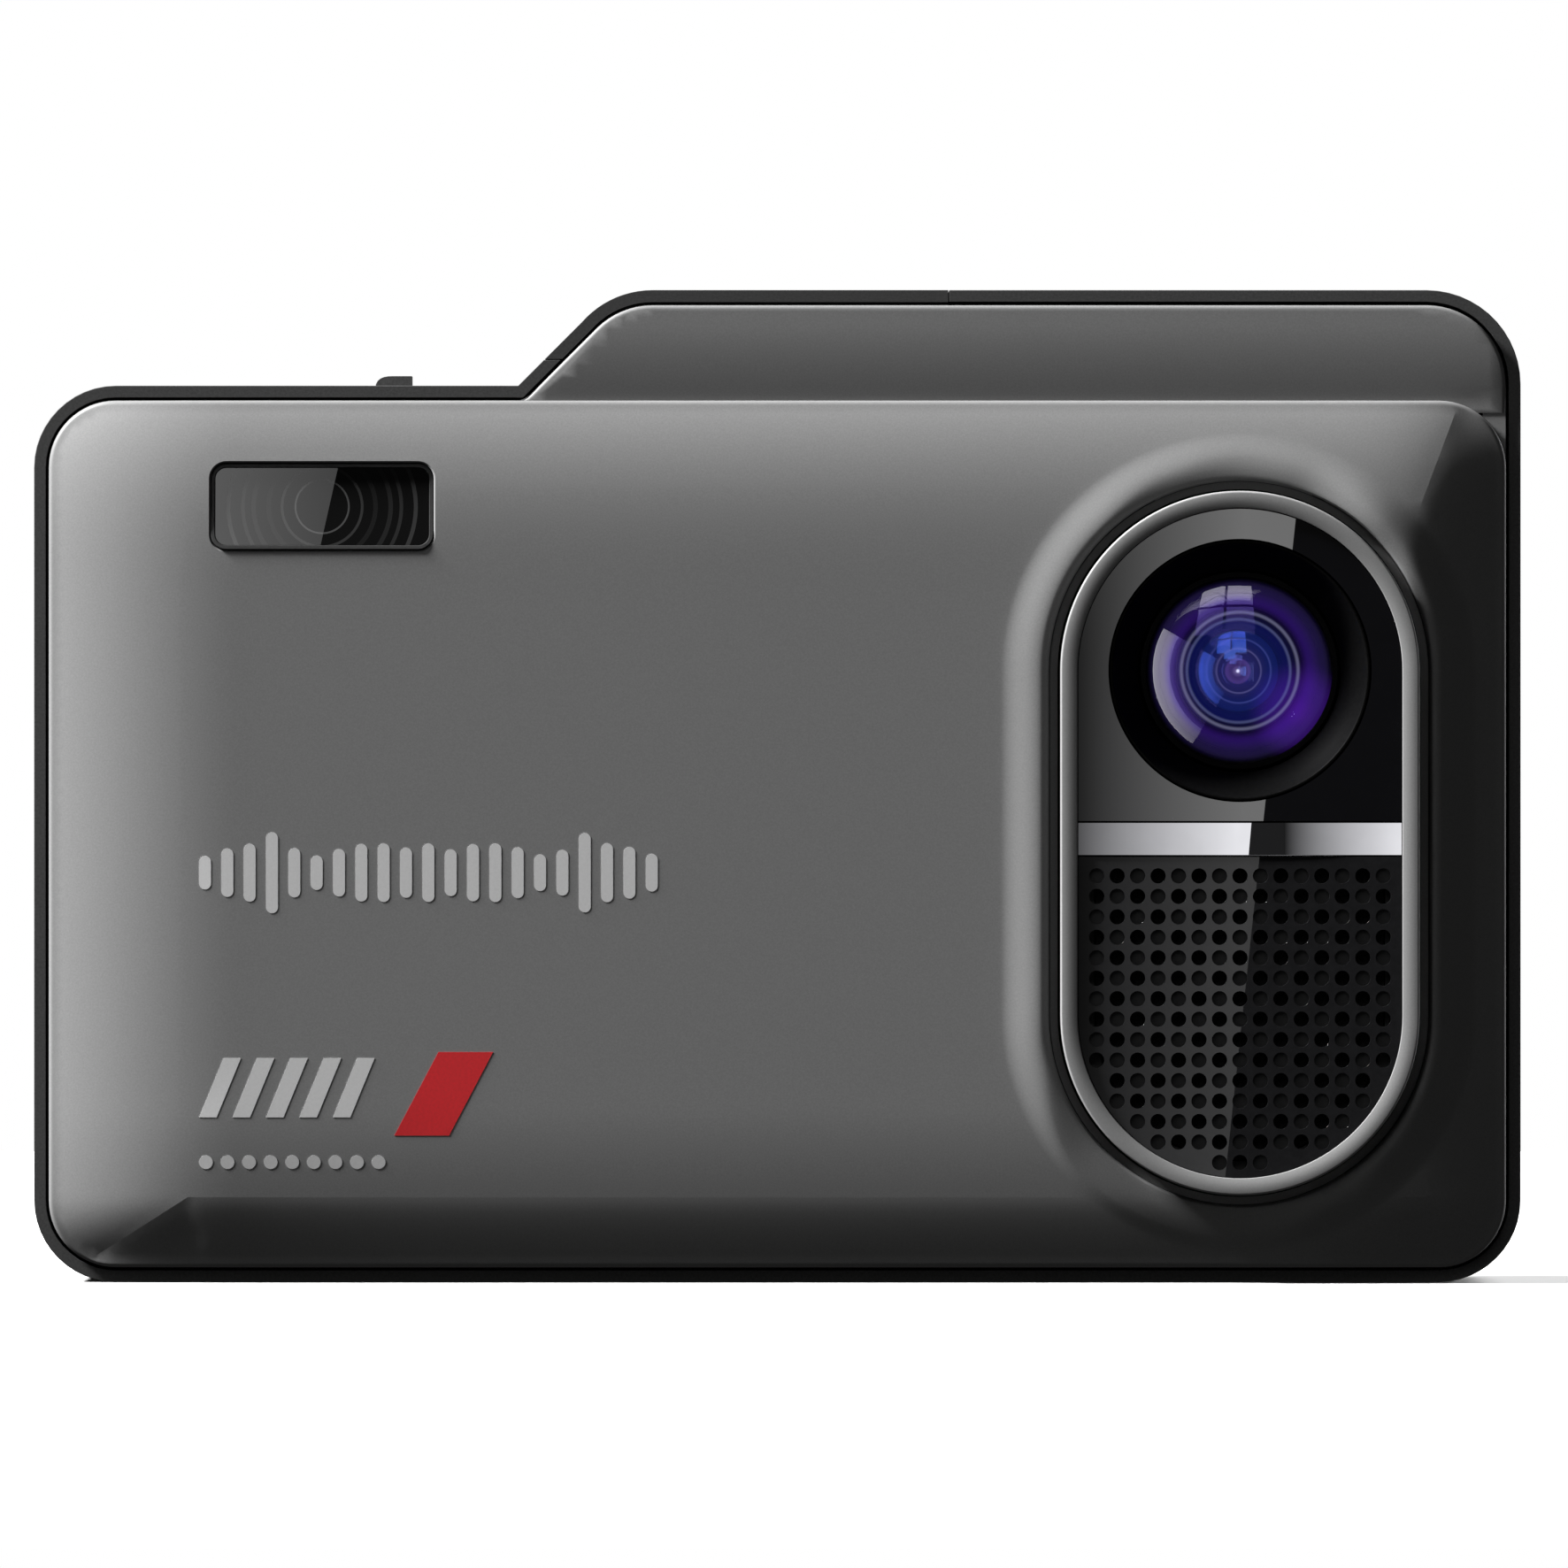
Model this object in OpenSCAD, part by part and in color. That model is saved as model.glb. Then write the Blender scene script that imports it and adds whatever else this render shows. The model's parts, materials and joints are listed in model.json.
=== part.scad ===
// Combined dash camera and radar detector for a car windscreen.
// The road side faces -Y, the screen faces +Y, and +Z is up. Millimetres throughout.

/* [Body] */
// Width of the body from side to side
body_w = 98; // [97:0.5:102]
// Height of the body on its tall side
body_h = 65.4; // [65.4:0.1:68]
// How far the tall side stands above the low side
step_h = 6.3; // [6:0.1:7]
// Depth from the camera ring to the back
body_d = 30; // [30:0.5:34]
// Corner radius of the low side
corner_r = 5.4; // [5:0.1:6]
// Corner radius of the tall side
tall_corner_r = 6.2; // [5.9:0.1:6.2]
// Wall thickness of the middle frame
wall = 1.6; // [1.5:0.1:1.8]

/* [Front cover] */
// Width of the black rim that shows round the cover
rim_w = 0.8; // [0.7:0.05:0.9]
// Open gap between the rim and the cover
rim_gap = 0.2; // [0.15:0.05:0.3]
// Thickness of the cover's skirt
skirt_t = 1.5; // [1.3:0.1:1.7]
// How far the face falls away from its middle to its edges
edge_drop = 2.2; // [1.6:0.1:2.4]
// Height of the raised collar round the camera
collar_h = 1.5; // [1:0.1:2]

/* [Camera and speaker] */
// Outer radius of the camera ring
ring_r = 11.8; // [11.6:0.1:12]
// Radius of the window and the grille inside the ring
panel_r = 10.62; // [10.5:0.02:10.64]
// Height of the lens axis above the base
lens_z = 40.3; // [39.8:0.1:41]
// Height of the speaker axis above the base
speaker_z = 17.6; // [17:0.1:18]
// Height of the chrome strip
strip_h = 2.2; // [2:0.1:2.4]
// Spacing of the speaker holes
hole_pitch = 1.345; // [1.3:0.005:1.36]
// Diameter of a speaker hole
hole_d = 1.0; // [0.8:0.1:1.1]

/* [Laser window] */
// Width of the laser receiver's opening
window_w = 14.7; // [13:0.1:16]
// Height of the laser receiver's opening
window_h = 5.8; // [5:0.1:6]

/* [Controls] */
// Travel of the power slider
slider_travel = 2.5; // [1.5:0.1:2.5]
// Travel of the side key
key_travel = 0.25; // [0.15:0.05:0.3]

/* [Hidden] */
$fn = 64;

// Body outline
half_w = body_w / 2;
low_h = body_h - step_h;
slope_foot_x = -17.1;
dip = 0.015; // how far the slope lies inside its bend's tangent line
slope_c = low_h - slope_foot_x; // the 45 degree slope is z = x + slope_c
cover_inset = rim_w + rim_gap;

// Depths, front to back
y_ring = -body_d / 2;
y_panel = y_ring + 0.3;
y_lip = -13.1;
y_face = y_lip + collar_h;
y_edge = y_face + edge_drop;
y_shelf = -8.6;
y_rim = -8;
y_ledge = -5;
y_split = 9;
y_back = body_d / 2;
edge_ease = 0.5; // how far the back's long bevel comes in
back_ease = 1.6; // how far the back's face is drawn in
seam = 0.05; // half of a parting line

// Face of the cover
face_lo = cover_inset;
face_hi = low_h - cover_inset;
face_x = half_w - cover_inset;
soft_w = 12.6; // how far in the soft edges start
facet_w = 4.4; // width of the flatter band along the bottom and right edges
facet_share = 0.77; // share of the drop that the band takes

// Camera
cam_x = 30.4;
ledge_r = 9.6;
panel_t = 1.6;
strip_z = 29.23;
strip_lo = strip_z - strip_h / 2;
strip_hi = strip_z + strip_h / 2;
hood_r = 8.65;
barrel_r = 6.5;
thread_r = 6;
running_gap = 0.02;
floor_front = -7.85;
floor_back = -6.65;
ear_x = 10.6; // offset of the camera screws from the lens axis
cone_r = 6.9;

// Boards
board_front = 7.6;
board_t = 1.2;
board_back = board_front + board_t;
camera_board_front = 3.2;

// Screws: x and z of each
case_points = [[-44.9, 4.9], [44.9, 4.9], [-44.9, low_h - 4.9], [44.3, body_h - 5.2]];
board_points = [[-44, 36], [44, 36], [0, 4.2]];
case_screw_r = 1;
board_screw_r = 0.8;
post_r = 1.9;

// Dock for the windscreen bracket
dock_edge_x = 11.27;
dock_edge_z = 60.85;
dock_floor = 62.4;
peg_r = 1;
peg_depth = 1.5;
peg_x = [-6.2, 9.2];
dock_x = 1.5;
dock_y = 1;
magnet_r = 2;
magnet_pitch = 7.2;

// Controls
key_z = 47.52;
key_y = 3.5;
key_l = 8.2;
key_h = 4.05;
knob_x = -26.64;
knob_w = 2.42;
knob_h = 0.77;
knob_y = 4.6;
card_z = 19;
card_y = 6.25;
usb_y = 6.05;
usb_z = 12;

// Display
glass_w = 82;
glass_h = 55;
glass_t = 1;
screen_z = 29.5;
lcd_w = 76.8;
lcd_h = 53;

// Laser window, tilted to lie along the falling face
window_x = -29.96;
window_z = 51.1;
window_tilt = -8.9;
window_frame = 0.3;
laser_board_front = -4;
laser_post_x = 8.25;
lens_front = 1.05; // how far the condenser lies behind the window's face

// ---------- helpers ----------

// A flat shape in x and z, from the depth front to the depth back
module slab(front, back)
    translate([0, back, 0]) rotate([90, 0, 0]) linear_extrude(back - front) children();

// A round bar along Y
module rod_y(x, z, r, front, back)
    translate([x, back, z]) rotate([90, 0, 0]) cylinder(r = r, h = back - front);

// A cone along Y, with its radius at the front and at the back
module cone_y(x, z, r_front, r_back, front, back)
    translate([x, back, z]) rotate([90, 0, 0]) cylinder(r1 = r_back, r2 = r_front, h = back - front);

// A flat shape in y and z, from one x to another
module along_x(left, right)
    translate([left, 0, 0]) rotate([90, 0, 90]) linear_extrude(right - left) children();

// A box from its lowest to its highest corner
module block(lo, hi)
    translate(lo) cube(hi - lo);

// A solid turned about a line along Y; its profile has the radius as x and the depth as y
module turned_y(x, z)
    translate([x, 0, z]) rotate([-90, 0, 0]) rotate_extrude() children();

module rounded(lo, hi, r) {
    translate([lo.x + r, lo.y]) square([hi.x - lo.x - 2 * r, hi.y - lo.y]);
    translate([lo.x, lo.y + r]) square([hi.x - lo.x, hi.y - lo.y - 2 * r]);
    for (x = [lo.x + r, hi.x - r], z = [lo.y + r, hi.y - r])
        translate([x, z]) circle(r = r);
}

// A rounded rectangle about a centre
module pad(x, z, w, h, r)
    rounded([x - w / 2, z - h / 2], [x + w / 2, z + h / 2], r);

// The body's front outline, drawn in by d all round
module outline(d = 0) {
    x0 = -half_w + d;
    x1 = half_w - d;
    r = corner_r - d;
    q = tall_corner_r - d;
    top = body_h - d;
    low = low_h - d;
    c = slope_c - d * sqrt(2);
    bend_z = top - q;
    bend_x = bend_z - c + q * sqrt(2);
    polygon([
        [x0 + r, d], [x1 - r, d], [x1 - r, d + r], [x1, d + r],
        [x1, top - q], [x1 - q, top - q], [x1 - q, top],
        [bend_x, top], [bend_x, bend_z], [bend_x - (q - dip) / sqrt(2), bend_z + (q - dip) / sqrt(2)],
        [low - c + dip * sqrt(2), low], [x0 + r, low], [x0 + r, low - r], [x0, low - r],
        [x0, d + r], [x0 + r, d + r]
    ]);
    translate([x0 + r, d + r]) circle(r = r);
    translate([x1 - r, d + r]) circle(r = r);
    translate([x0 + r, low - r]) circle(r = r);
    translate([x1 - q, top - q]) circle(r = q);
    translate([bend_x, bend_z]) circle(r = q);
}

// The cover's face, a rounded rectangle over the low part, drawn in by d
module face_outline(d = 0)
    rounded([-face_x + d, face_lo + d], [face_x - d, face_hi - d], corner_r - cover_inset - min(d, 3));

module stadium(r) {
    translate([cam_x, lens_z]) circle(r = r);
    translate([cam_x, speaker_z]) circle(r = r);
    translate([cam_x - r, speaker_z]) square([2 * r, lens_z - speaker_z]);
}

// A stadium whose radius changes from front to back
module stadium_cone(r_front, r_back, front, back) {
    cone_y(cam_x, lens_z, r_front, r_back, front, back);
    cone_y(cam_x, speaker_z, r_front, r_back, front, back);
    translate([0, 0, speaker_z]) linear_extrude(lens_z - speaker_z) polygon([
        [cam_x - r_front, front], [cam_x + r_front, front],
        [cam_x + r_back, back], [cam_x - r_back, back]
    ]);
}

// How far the face has fallen back at a distance s from a soft edge
function soft_drop(s) = edge_drop * pow(max(0, 1 - s / soft_w), 2);

// The same at a distance s from an edge with a flatter band
function band_drop(s) =
    s < facet_w
    ? edge_drop * (1 - facet_share * s / facet_w)
    : edge_drop * (1 - facet_share) * pow(max(0, 1 - (s - facet_w) / (soft_w - facet_w)), 2);

soft_steps = [for (i = [0:8]) soft_w * i / 8];
band_steps = [0, facet_w, for (i = [1:5]) facet_w + (soft_w - facet_w) * i / 5];

// Face section across its width, as x and depth
face_across = [
    [-face_x, y_edge + 1], [face_x, y_edge + 1],
    for (s = band_steps) [face_x - s, y_face + band_drop(s)],
    for (i = [8:-1:0]) [-face_x + soft_steps[i], y_face + soft_drop(soft_steps[i])]
];

// Face section up its height, as depth and z
face_up = [
    [y_edge + 1, face_lo], for (s = band_steps) [y_face + band_drop(s), face_lo + s],
    for (i = [8:-1:0]) [y_face + soft_drop(soft_steps[i]), face_hi - soft_steps[i]],
    [y_edge + 1, face_hi]
];

module screw_recess(x, z, r, front, back) {
    for (a = [0, 90])
        translate([x, 0, z]) rotate([0, a, 0])
            block([-r * 0.62, front, -r * 0.14], [r * 0.62, back, r * 0.14]);
}

// A cross-head screw that goes in from the back; seat is where its head rests
module screw(x, z, r, head_r, head_t, seat, length)
    difference() {
        union() {
            rod_y(x, z, r, seat - length, seat);
            rod_y(x, z, head_r, seat, seat + head_t);
        }
        screw_recess(x, z, head_r, seat + head_t * 0.4, seat + head_t + 1);
    }

// Places its children in the plane of the laser window, centred on it
module at_window()
    translate([window_x, y_face + soft_drop(face_hi - window_z), window_z])
        rotate([window_tilt, 0, 0]) children();

// ---------- body ----------

// The cover's shell: a soft-edged face over the low part and a flat shelf over the tall part
module cover_shell()
    difference() {
        union() {
            intersection() {
                slab(y_face - 1, y_ledge) face_outline();
                translate([0, 0, face_lo - 1]) linear_extrude(low_h + 2) polygon(
                    concat(face_across, [[-face_x, y_ledge + 1], [face_x, y_ledge + 1]])
                );
                along_x(-half_w, half_w) polygon(
                    concat(face_up, [[y_ledge + 1, face_hi], [y_ledge + 1, face_lo]])
                );
            }
            slab(y_shelf, y_ledge) outline(cover_inset);
            stadium_cone(13.6, 15.4, y_lip, y_face);
        }
        slab(y_edge + skirt_t, y_ledge + 1) face_outline(skirt_t);
        slab(y_shelf + skirt_t, y_ledge + 1) outline(cover_inset + skirt_t);
    }

module front_cover() color("dimgray")
    difference() {
        union() {
            cover_shell();
            for (p = case_points) rod_y(p.x, p.y, post_r, y_shelf + 0.5, y_split);
            for (s = [-1, 1])
                rod_y(window_x + s * laser_post_x, window_z, 0.8, y_shelf, laser_board_front);
        }
        slab(y_lip - 1, y_ledge + 1) stadium(ring_r + 0.1);
        stadium_cone(13.1, 12.1, y_lip - 0.01, y_face + 0.4);
        at_window() slab(-3, 6) pad(0, 0, window_w, window_h, 1.05);
        for (p = case_points) rod_y(p.x, p.y, case_screw_r + running_gap, -1, y_split + 1);
    }

module vent_slots()
    for (i = [-5:5]) block([i * 4 - 0.8, -2, -1], [i * 4 + 0.8, 6, wall + 1]);

module dock_region(d)
    polygon([
        [slope_foot_x, dock_edge_z - d], [dock_edge_x + d, dock_edge_z - d],
        [dock_edge_x + d, body_h + 1], [slope_foot_x, body_h + 1]
    ]);

module board_tab(p)
    intersection() {
        slab(board_front - 1.2, board_front) outline(wall / 2);
        union() {
            rod_y(p.x, p.y, 1.8, board_front - 1.2, board_front);
            if (p.x == 0) block([-1.8, board_front - 1.2, 0], [1.8, board_front, p.y]);
            else block(
                [min(p.x, sign(p.x) * half_w), board_front - 1.2, p.y - 1.8],
                [max(p.x, sign(p.x) * half_w), board_front, p.y + 1.8]
            );
        }
    }

// The wall all round, with a thin rim in front and a ledge for the cover's skirt
module frame_wall()
    difference() {
        slab(y_rim, y_split - seam) outline();
        slab(y_rim - 1, y_ledge) outline(rim_w);
        slab(y_ledge - 1, y_split + 1) outline(wall);
    }

module mid_frame() color("#262626")
    difference() {
        union() {
            frame_wall();
            for (p = board_points) board_tab(p);
        }
        slab(y_rim - 1, y_split + 1) dock_region(seam);
        for (p = board_points) rod_y(p.x, p.y, board_screw_r + running_gap, 0, y_split);
        block([-half_w - 1, key_y - key_l / 2 - 0.1, key_z - key_h / 2 - 0.1],
            [-half_w + wall + 1, key_y + key_l / 2 + 0.1, key_z + key_h / 2 + 0.1]);
        block([-half_w - 1, card_y - 0.25, card_z - 5.8],
            [-half_w + wall + 1, card_y + 1.15, card_z + 5.8]);
        along_x(half_w - wall - 1, half_w + 1) pad(usb_y, usb_z, 3.5, 9.3, 1.7);
        block([knob_x + 0.3, knob_y - 0.6, low_h - wall - 1],
            [knob_x + 2.1 + slider_travel, knob_y + 0.6, low_h + 1]);
        vent_slots();
        translate([-30, 7, -1]) cylinder(r = 0.5, h = wall + 2);
    }

// Section of what the bevels take off: how far in, and the depth
bevel = [
    [-2, y_back - 1.8], [0, y_back - 1.8], [edge_ease, y_back - 0.6], [back_ease, y_back],
    [back_ease, y_back + 1], [-2, y_back + 1]
];

module back_bevels() {
    bend_x = body_h - tall_corner_r - slope_c + tall_corner_r * sqrt(2);
    along_x(-body_w, body_w) polygon([for (p = bevel) [p.y, p.x]]);
    along_x(-body_w, slope_foot_x) polygon([for (p = bevel) [p.y, low_h - p.x]]);
    along_x(bend_x - 2.4, body_w) polygon([for (p = bevel) [p.y, body_h - p.x]]);
    linear_extrude(body_h) polygon([for (p = bevel) [p.x - half_w, p.y]]);
    linear_extrude(body_h) polygon([for (p = bevel) [half_w - p.x, p.y]]);
    translate([slope_foot_x, 0, low_h]) rotate([0, -45, 0]) along_x(0, 8)
        polygon([for (p = bevel) [p.y, -p.x]]);
}

module rear_cover() color("#1e1e1e")
    difference() {
        union() {
            difference() {
                slab(y_split + seam, y_back) outline();
                slab(y_split, y_back - 2.4) outline(wall + 0.2);
                back_bevels();
            }
            for (p = case_points) rod_y(p.x, p.y, 2.7, y_split + seam, y_back - 2);
            slab(y_split + 1.2, y_back - 2) difference() {
                pad(0, screen_z, lcd_w + 2.4, lcd_h + 2.4, 1.2);
                pad(0, screen_z, lcd_w, lcd_h, 0.3);
            }
        }
        slab(y_split, y_back + 1) pad(0, screen_z, lcd_w + 0.3, lcd_h + 0.3, 0.4);
        slab(y_back - glass_t - 0.15, y_back + 1) pad(0, screen_z, glass_w + 0.3, glass_h + 0.3, 3);
        for (p = case_points) {
            rod_y(p.x, p.y, case_screw_r + 0.15, y_split, y_back + 1);
            rod_y(p.x, p.y, 2.1, y_back - 1.6, y_back + 1);
        }
        rod_y(44.4, screen_z, 0.85, y_split, y_back + 1);
    }

module mount_dock() color("#222222")
    difference() {
        union() {
            intersection() {
                frame_wall();
                slab(y_rim, y_split) dock_region(0);
            }
            block([-8.5, y_ledge, dock_floor], [dock_edge_x + 2, y_split - 0.6, body_h - wall - 0.05]);
            block([-8.5, y_ledge, body_h - wall - 0.1],
                [dock_edge_x - 0.5, y_split - 0.6, body_h - 0.5]);
        }
        for (x = peg_x) translate([x, dock_y, body_h - peg_depth])
            cylinder(r = peg_r, h = peg_depth + 1);
        dock_magnet_shapes(magnet_r + 0.05, body_h - 1.4);
        for (i = [-1.5:1.5]) translate([dock_x + 2.4 * i, dock_y, 0]) {
            translate([0, 0, body_h - 0.65]) cylinder(r = 0.82, h = 1);
            translate([0, 0, dock_floor - 1]) cylinder(r = 0.42, h = 4);
        }
    }

module dock_magnet_shapes(r, top)
    for (s = [-1, 1]) translate([dock_x, dock_y + s * magnet_pitch / 2, dock_floor - 1])
        cylinder(r = r, h = top - dock_floor + 1);

module dock_magnets() color("silver")
    intersection() {
        dock_magnet_shapes(magnet_r, body_h - 1.45);
        block([-20, -20, dock_floor + 0.2], [20, 20, body_h]);
    }

module dock_contacts() color("gold")
    for (i = [-1.5:1.5]) translate([dock_x + 2.4 * i, dock_y, 0]) {
        translate([0, 0, body_h - 0.65]) cylinder(r = 0.8, h = 0.6);
        translate([0, 0, dock_floor - 1.5]) cylinder(r = 0.4, h = body_h - 0.6 - dock_floor + 1.5);
    }

module case_screws() color("#303030")
    for (p = case_points) screw(p.x, p.y, case_screw_r, 1.85, 1.3, y_back - 1.6, 10);

// ---------- camera ----------

// The ring, with a floor behind it that carries the lens holder and the speaker
module camera_bezel() color("gray")
    difference() {
        union() {
            slab(y_ring + 0.25, floor_back) stadium(ring_r);
            stadium_cone(ring_r - 0.25, ring_r, y_ring, y_ring + 0.26);
            slab(floor_front, floor_back) stadium(12.9);
        }
        slab(y_ring - 1, y_panel + panel_t) stadium(panel_r + 0.1);
        difference() {
            slab(y_panel + panel_t - 0.1, floor_front) stadium(ledge_r);
            block([cam_x - 12, y_panel + panel_t + 0.6, strip_z - 0.5], [cam_x + 12, 0, strip_z + 0.5]);
        }
        rod_y(cam_x, lens_z, barrel_r + 0.9, floor_front - 1, floor_back + 1);
        rod_y(cam_x, speaker_z, 5.6, floor_front - 1, floor_back + 1);
        for (s = [-1, 1])
            rod_y(cam_x + s * ear_x, lens_z, board_screw_r + running_gap, floor_front + 0.2, 0);
    }

module camera_window() color("#141416")
    slab(y_panel, y_panel + panel_t) difference() {
        intersection() {
            stadium(panel_r);
            translate([cam_x - 20, strip_hi + 0.08]) square([40, 40]);
        }
        translate([cam_x, lens_z]) circle(r = hood_r);
    }

module chrome_strip() color("silver")
    slab(y_panel - 0.1, y_panel + panel_t) intersection() {
        stadium(panel_r);
        translate([cam_x - 20, strip_lo]) square([40, strip_h]);
    }

grille_rows = 15;
grille_top_z = 26.8;
// Holes keep this far inside the round end of the grille
hole_reach = 9.9;

// Every second hole of the pattern: the even ones go through and the odd ones are dimples
module grille_holes(odd, front, back)
    for (row = [0:grille_rows - 1], col = [-7:7]) {
        x = col * hole_pitch;
        z = grille_top_z - row * hole_pitch;
        below = max(0, speaker_z - z);
        if (abs((row + col) % 2) == odd && norm([x, below]) <= hole_reach)
            rod_y(cam_x + x, z, hole_d / 2, front, back);
    }

module speaker_grille() color("#1a1a1c")
    difference() {
        slab(y_panel, y_panel + panel_t) intersection() {
            stadium(panel_r);
            translate([cam_x - 20, strip_lo - 0.08 - 40]) square([40, 40]);
        }
        grille_holes(0, y_panel - 1, y_panel + panel_t + 1);
        grille_holes(1, y_panel - 1, y_panel + 0.5);
    }

module grille_cloth() color("#0c0c0c")
    slab(y_panel + panel_t + 0.05, y_panel + panel_t + 0.35) intersection() {
        stadium(ledge_r - 0.15);
        translate([cam_x - 20, strip_z - 0.6 - 40]) square([40, 40]);
    }

// Black cone round the lens, held behind the window by a flange
module lens_hood() color("#0d0d0e")
    turned_y(cam_x, lens_z) difference() {
        polygon([
            [6.7, -14.55], [8.55, -14.55], [8.55, -13.05], [9.4, -13.05],
            [9.4, -12.3], [8, -12.3], [8, -11], [6.7, -11]
        ]);
        polygon([[6, -14.7], [8.43, -14.7], [8.33, -14.45], [6.7, -12.2], [6, -12.2]]);
    }

// Threaded barrel with stepped seats for the glass
module lens_barrel() color("#111111")
    turned_y(cam_x, lens_z) difference() {
        polygon([
            [0.5, -12.1], [barrel_r, -12.1], [barrel_r, -6.8], [thread_r, -6.8],
            [thread_r, 1], [0.5, 1]
        ]);
        polygon([
            [0, -13], [6.14, -13], [6.14, -11.15], [5.3, -11.15], [5.3, -9.9], [4.6, -9.9],
            [4.1, -9.2], [4.1, -7.8], [3.2, -7.8], [2.7, -6.2], [2.7, -3.5], [3.2, -2],
            [3.2, 2], [0, 2]
        ]);
    }

module lens_front_element() color("#6070c0")
    difference() {
        intersection() {
            rod_y(cam_x, lens_z, 6.1, -15, -11.2);
            translate([cam_x, -14.5 + 8.2, lens_z]) sphere(r = 8.2);
        }
        intersection() {
            translate([cam_x, -13.3 + 6.4, lens_z]) sphere(r = 6.4);
            rod_y(cam_x, lens_z, 5, -14, -11);
        }
    }

module lens_spacer_ring() color("gray")
    turned_y(cam_x, lens_z)
        polygon([[4.25, -11.1], [5.25, -11.1], [5.25, -10], [4.75, -10], [4.25, -10.6]]);

module lens_middle_element() color("#3a4fc0")
    intersection() {
        rod_y(cam_x, lens_z, 4.05, -11, -7.9);
        translate([cam_x, -9.9 + 7, lens_z]) sphere(r = 7);
    }

module lens_rear_element() color("#5a3fb0")
    intersection() {
        rod_y(cam_x, lens_z, 2.65, -8, -4.4);
        translate([cam_x, -6 + 4, lens_z]) sphere(r = 4);
    }

module lens_holder() color("#1b1b1b")
    difference() {
        union() {
            rod_y(cam_x, lens_z, 7.3, floor_back + 0.2, -1);
            slab(-1, camera_board_front) pad(cam_x, lens_z, 15, 15, 0.8);
            slab(-1, 0.6) pad(cam_x, lens_z, 2 * ear_x + 4, 4.4, 1);
            for (s = [-1, 1]) rod_y(cam_x + s * ear_x, lens_z, 1.9, floor_back, -0.9);
        }
        rod_y(cam_x, lens_z, thread_r + running_gap, floor_back - 1, 1.2);
        block([cam_x - 4.2, 1.1, lens_z - 4.2], [cam_x + 4.2, camera_board_front + 1, lens_z + 4.2]);
        for (s = [-1, 1])
            rod_y(cam_x + s * ear_x, lens_z, board_screw_r + running_gap, floor_back - 1, 1);
    }

module ir_filter() color("#7fb8a8")
    block([cam_x - 4, 1.25, lens_z - 4], [cam_x + 4, 1.6, lens_z + 4]);

module image_sensor() color("#2c4a3a")
    block([cam_x - 3.6, 2.2, lens_z - 3], [cam_x + 3.6, camera_board_front, lens_z + 3]);

module camera_board() color("darkgreen")
    slab(camera_board_front, camera_board_front + 1) difference() {
        pad(cam_x, lens_z, 15.6, 20, 1);
        translate([cam_x, lens_z - 9]) circle(r = 0.6);
    }

// Flat ribbon from the camera board down to the main board
module camera_ribbon() color("#b07a30")
    translate([cam_x - 4, 0, 0]) rotate([90, 0, 90]) linear_extrude(8) polygon([
        [4.25, 34], [4.25, 27.9], [7.4, 24], [7.4, 20], [7.55, 20], [7.55, 24.1], [4.4, 28], [4.4, 34]
    ]);

module camera_screws() color("silver")
    for (s = [-1, 1]) screw(cam_x + s * ear_x, lens_z, board_screw_r, 1.4, 0.9, 0.6, 7.9);

// ---------- speaker ----------

module speaker_basket() color("#2a2a2a")
    turned_y(cam_x, speaker_z) polygon([
        [8.5, -12.5], [9.35, -12.5], [9.35, -9.2], [8.6, floor_front], [5.05, floor_front],
        [5.05, -9.2], [8.5, -9.2]
    ]);

module speaker_surround() color("#151515")
    turned_y(cam_x, speaker_z) polygon([
        [8.45, -12.2], [7.75, -12.75], [7.05, -12.2], [7.05, -11.95], [7.75, -12.5], [8.45, -11.95]
    ]);

module speaker_cone() color("#3a3a3a")
    turned_y(cam_x, speaker_z) polygon([
        [0.3, -12.45], [3, -12.1], [3.4, -11.2], [cone_r, -12.2], [cone_r, -11.95], [3.3, -10.9],
        [0.3, -12.1]
    ]);

module voice_coil() color("peru")
    turned_y(cam_x, speaker_z) polygon([[2.9, -10.85], [3.25, -10.85], [3.25, -9.3], [2.9, -9.3]]);

module speaker_magnet() color("slategray")
    difference() {
        rod_y(cam_x, speaker_z, 5, -10.2, -6.6);
        turned_y(cam_x, speaker_z) polygon([[2.6, -11], [3.6, -11], [3.6, -8.6], [2.6, -8.6]]);
    }

// ---------- laser receiver ----------

module window_gasket() color("#0a0a0a")
    at_window() slab(-0.1, 1.6) difference() {
        pad(0, 0, window_w - 0.06, window_h - 0.06, 1.02);
        pad(0, 0, window_w - 2 * window_frame, window_h - 2 * window_frame, 0.75);
    }

module laser_window() color("#303034")
    at_window() slab(0, 1)
        pad(0, 0, window_w - 2 * window_frame - 0.06, window_h - 2 * window_frame - 0.06, 0.72);

// Stepped condenser lens, cut down to the window's shape
module laser_lens() color("#55555a")
    at_window() difference() {
        slab(lens_front, 2.4) pad(0, 0, window_w - 1.2, window_h - 1.2, 0.5);
        for (r = [1.75:0.87:6.1])
            translate([0, lens_front, 0]) rotate([-90, 0, 0]) rotate_extrude()
                polygon([[r, -0.2], [r + 0.45, -0.2], [r + 0.45, 0], [r, 0.35]]);
    }

module laser_sensor() color("silver")
    union() {
        rod_y(window_x, window_z, 2, -6.4, -4.5);
        rod_y(window_x, window_z, 2.3, -4.6, laser_board_front);
    }

module laser_board() color("darkgreen")
    slab(laser_board_front, laser_board_front + 1) pad(window_x, window_z, 18.6, 8, 0.8);

// ---------- main board ----------

// Room for a screw post at a corner of the board; sx and sz point out to the corner
module post_notch(sx, sz) {
    circle(r = 2.3);
    scale([sx, sz]) {
        translate([-2.3, 0]) square([6, 4]);
        translate([0, -2.3]) square([4, 6]);
    }
}

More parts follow.
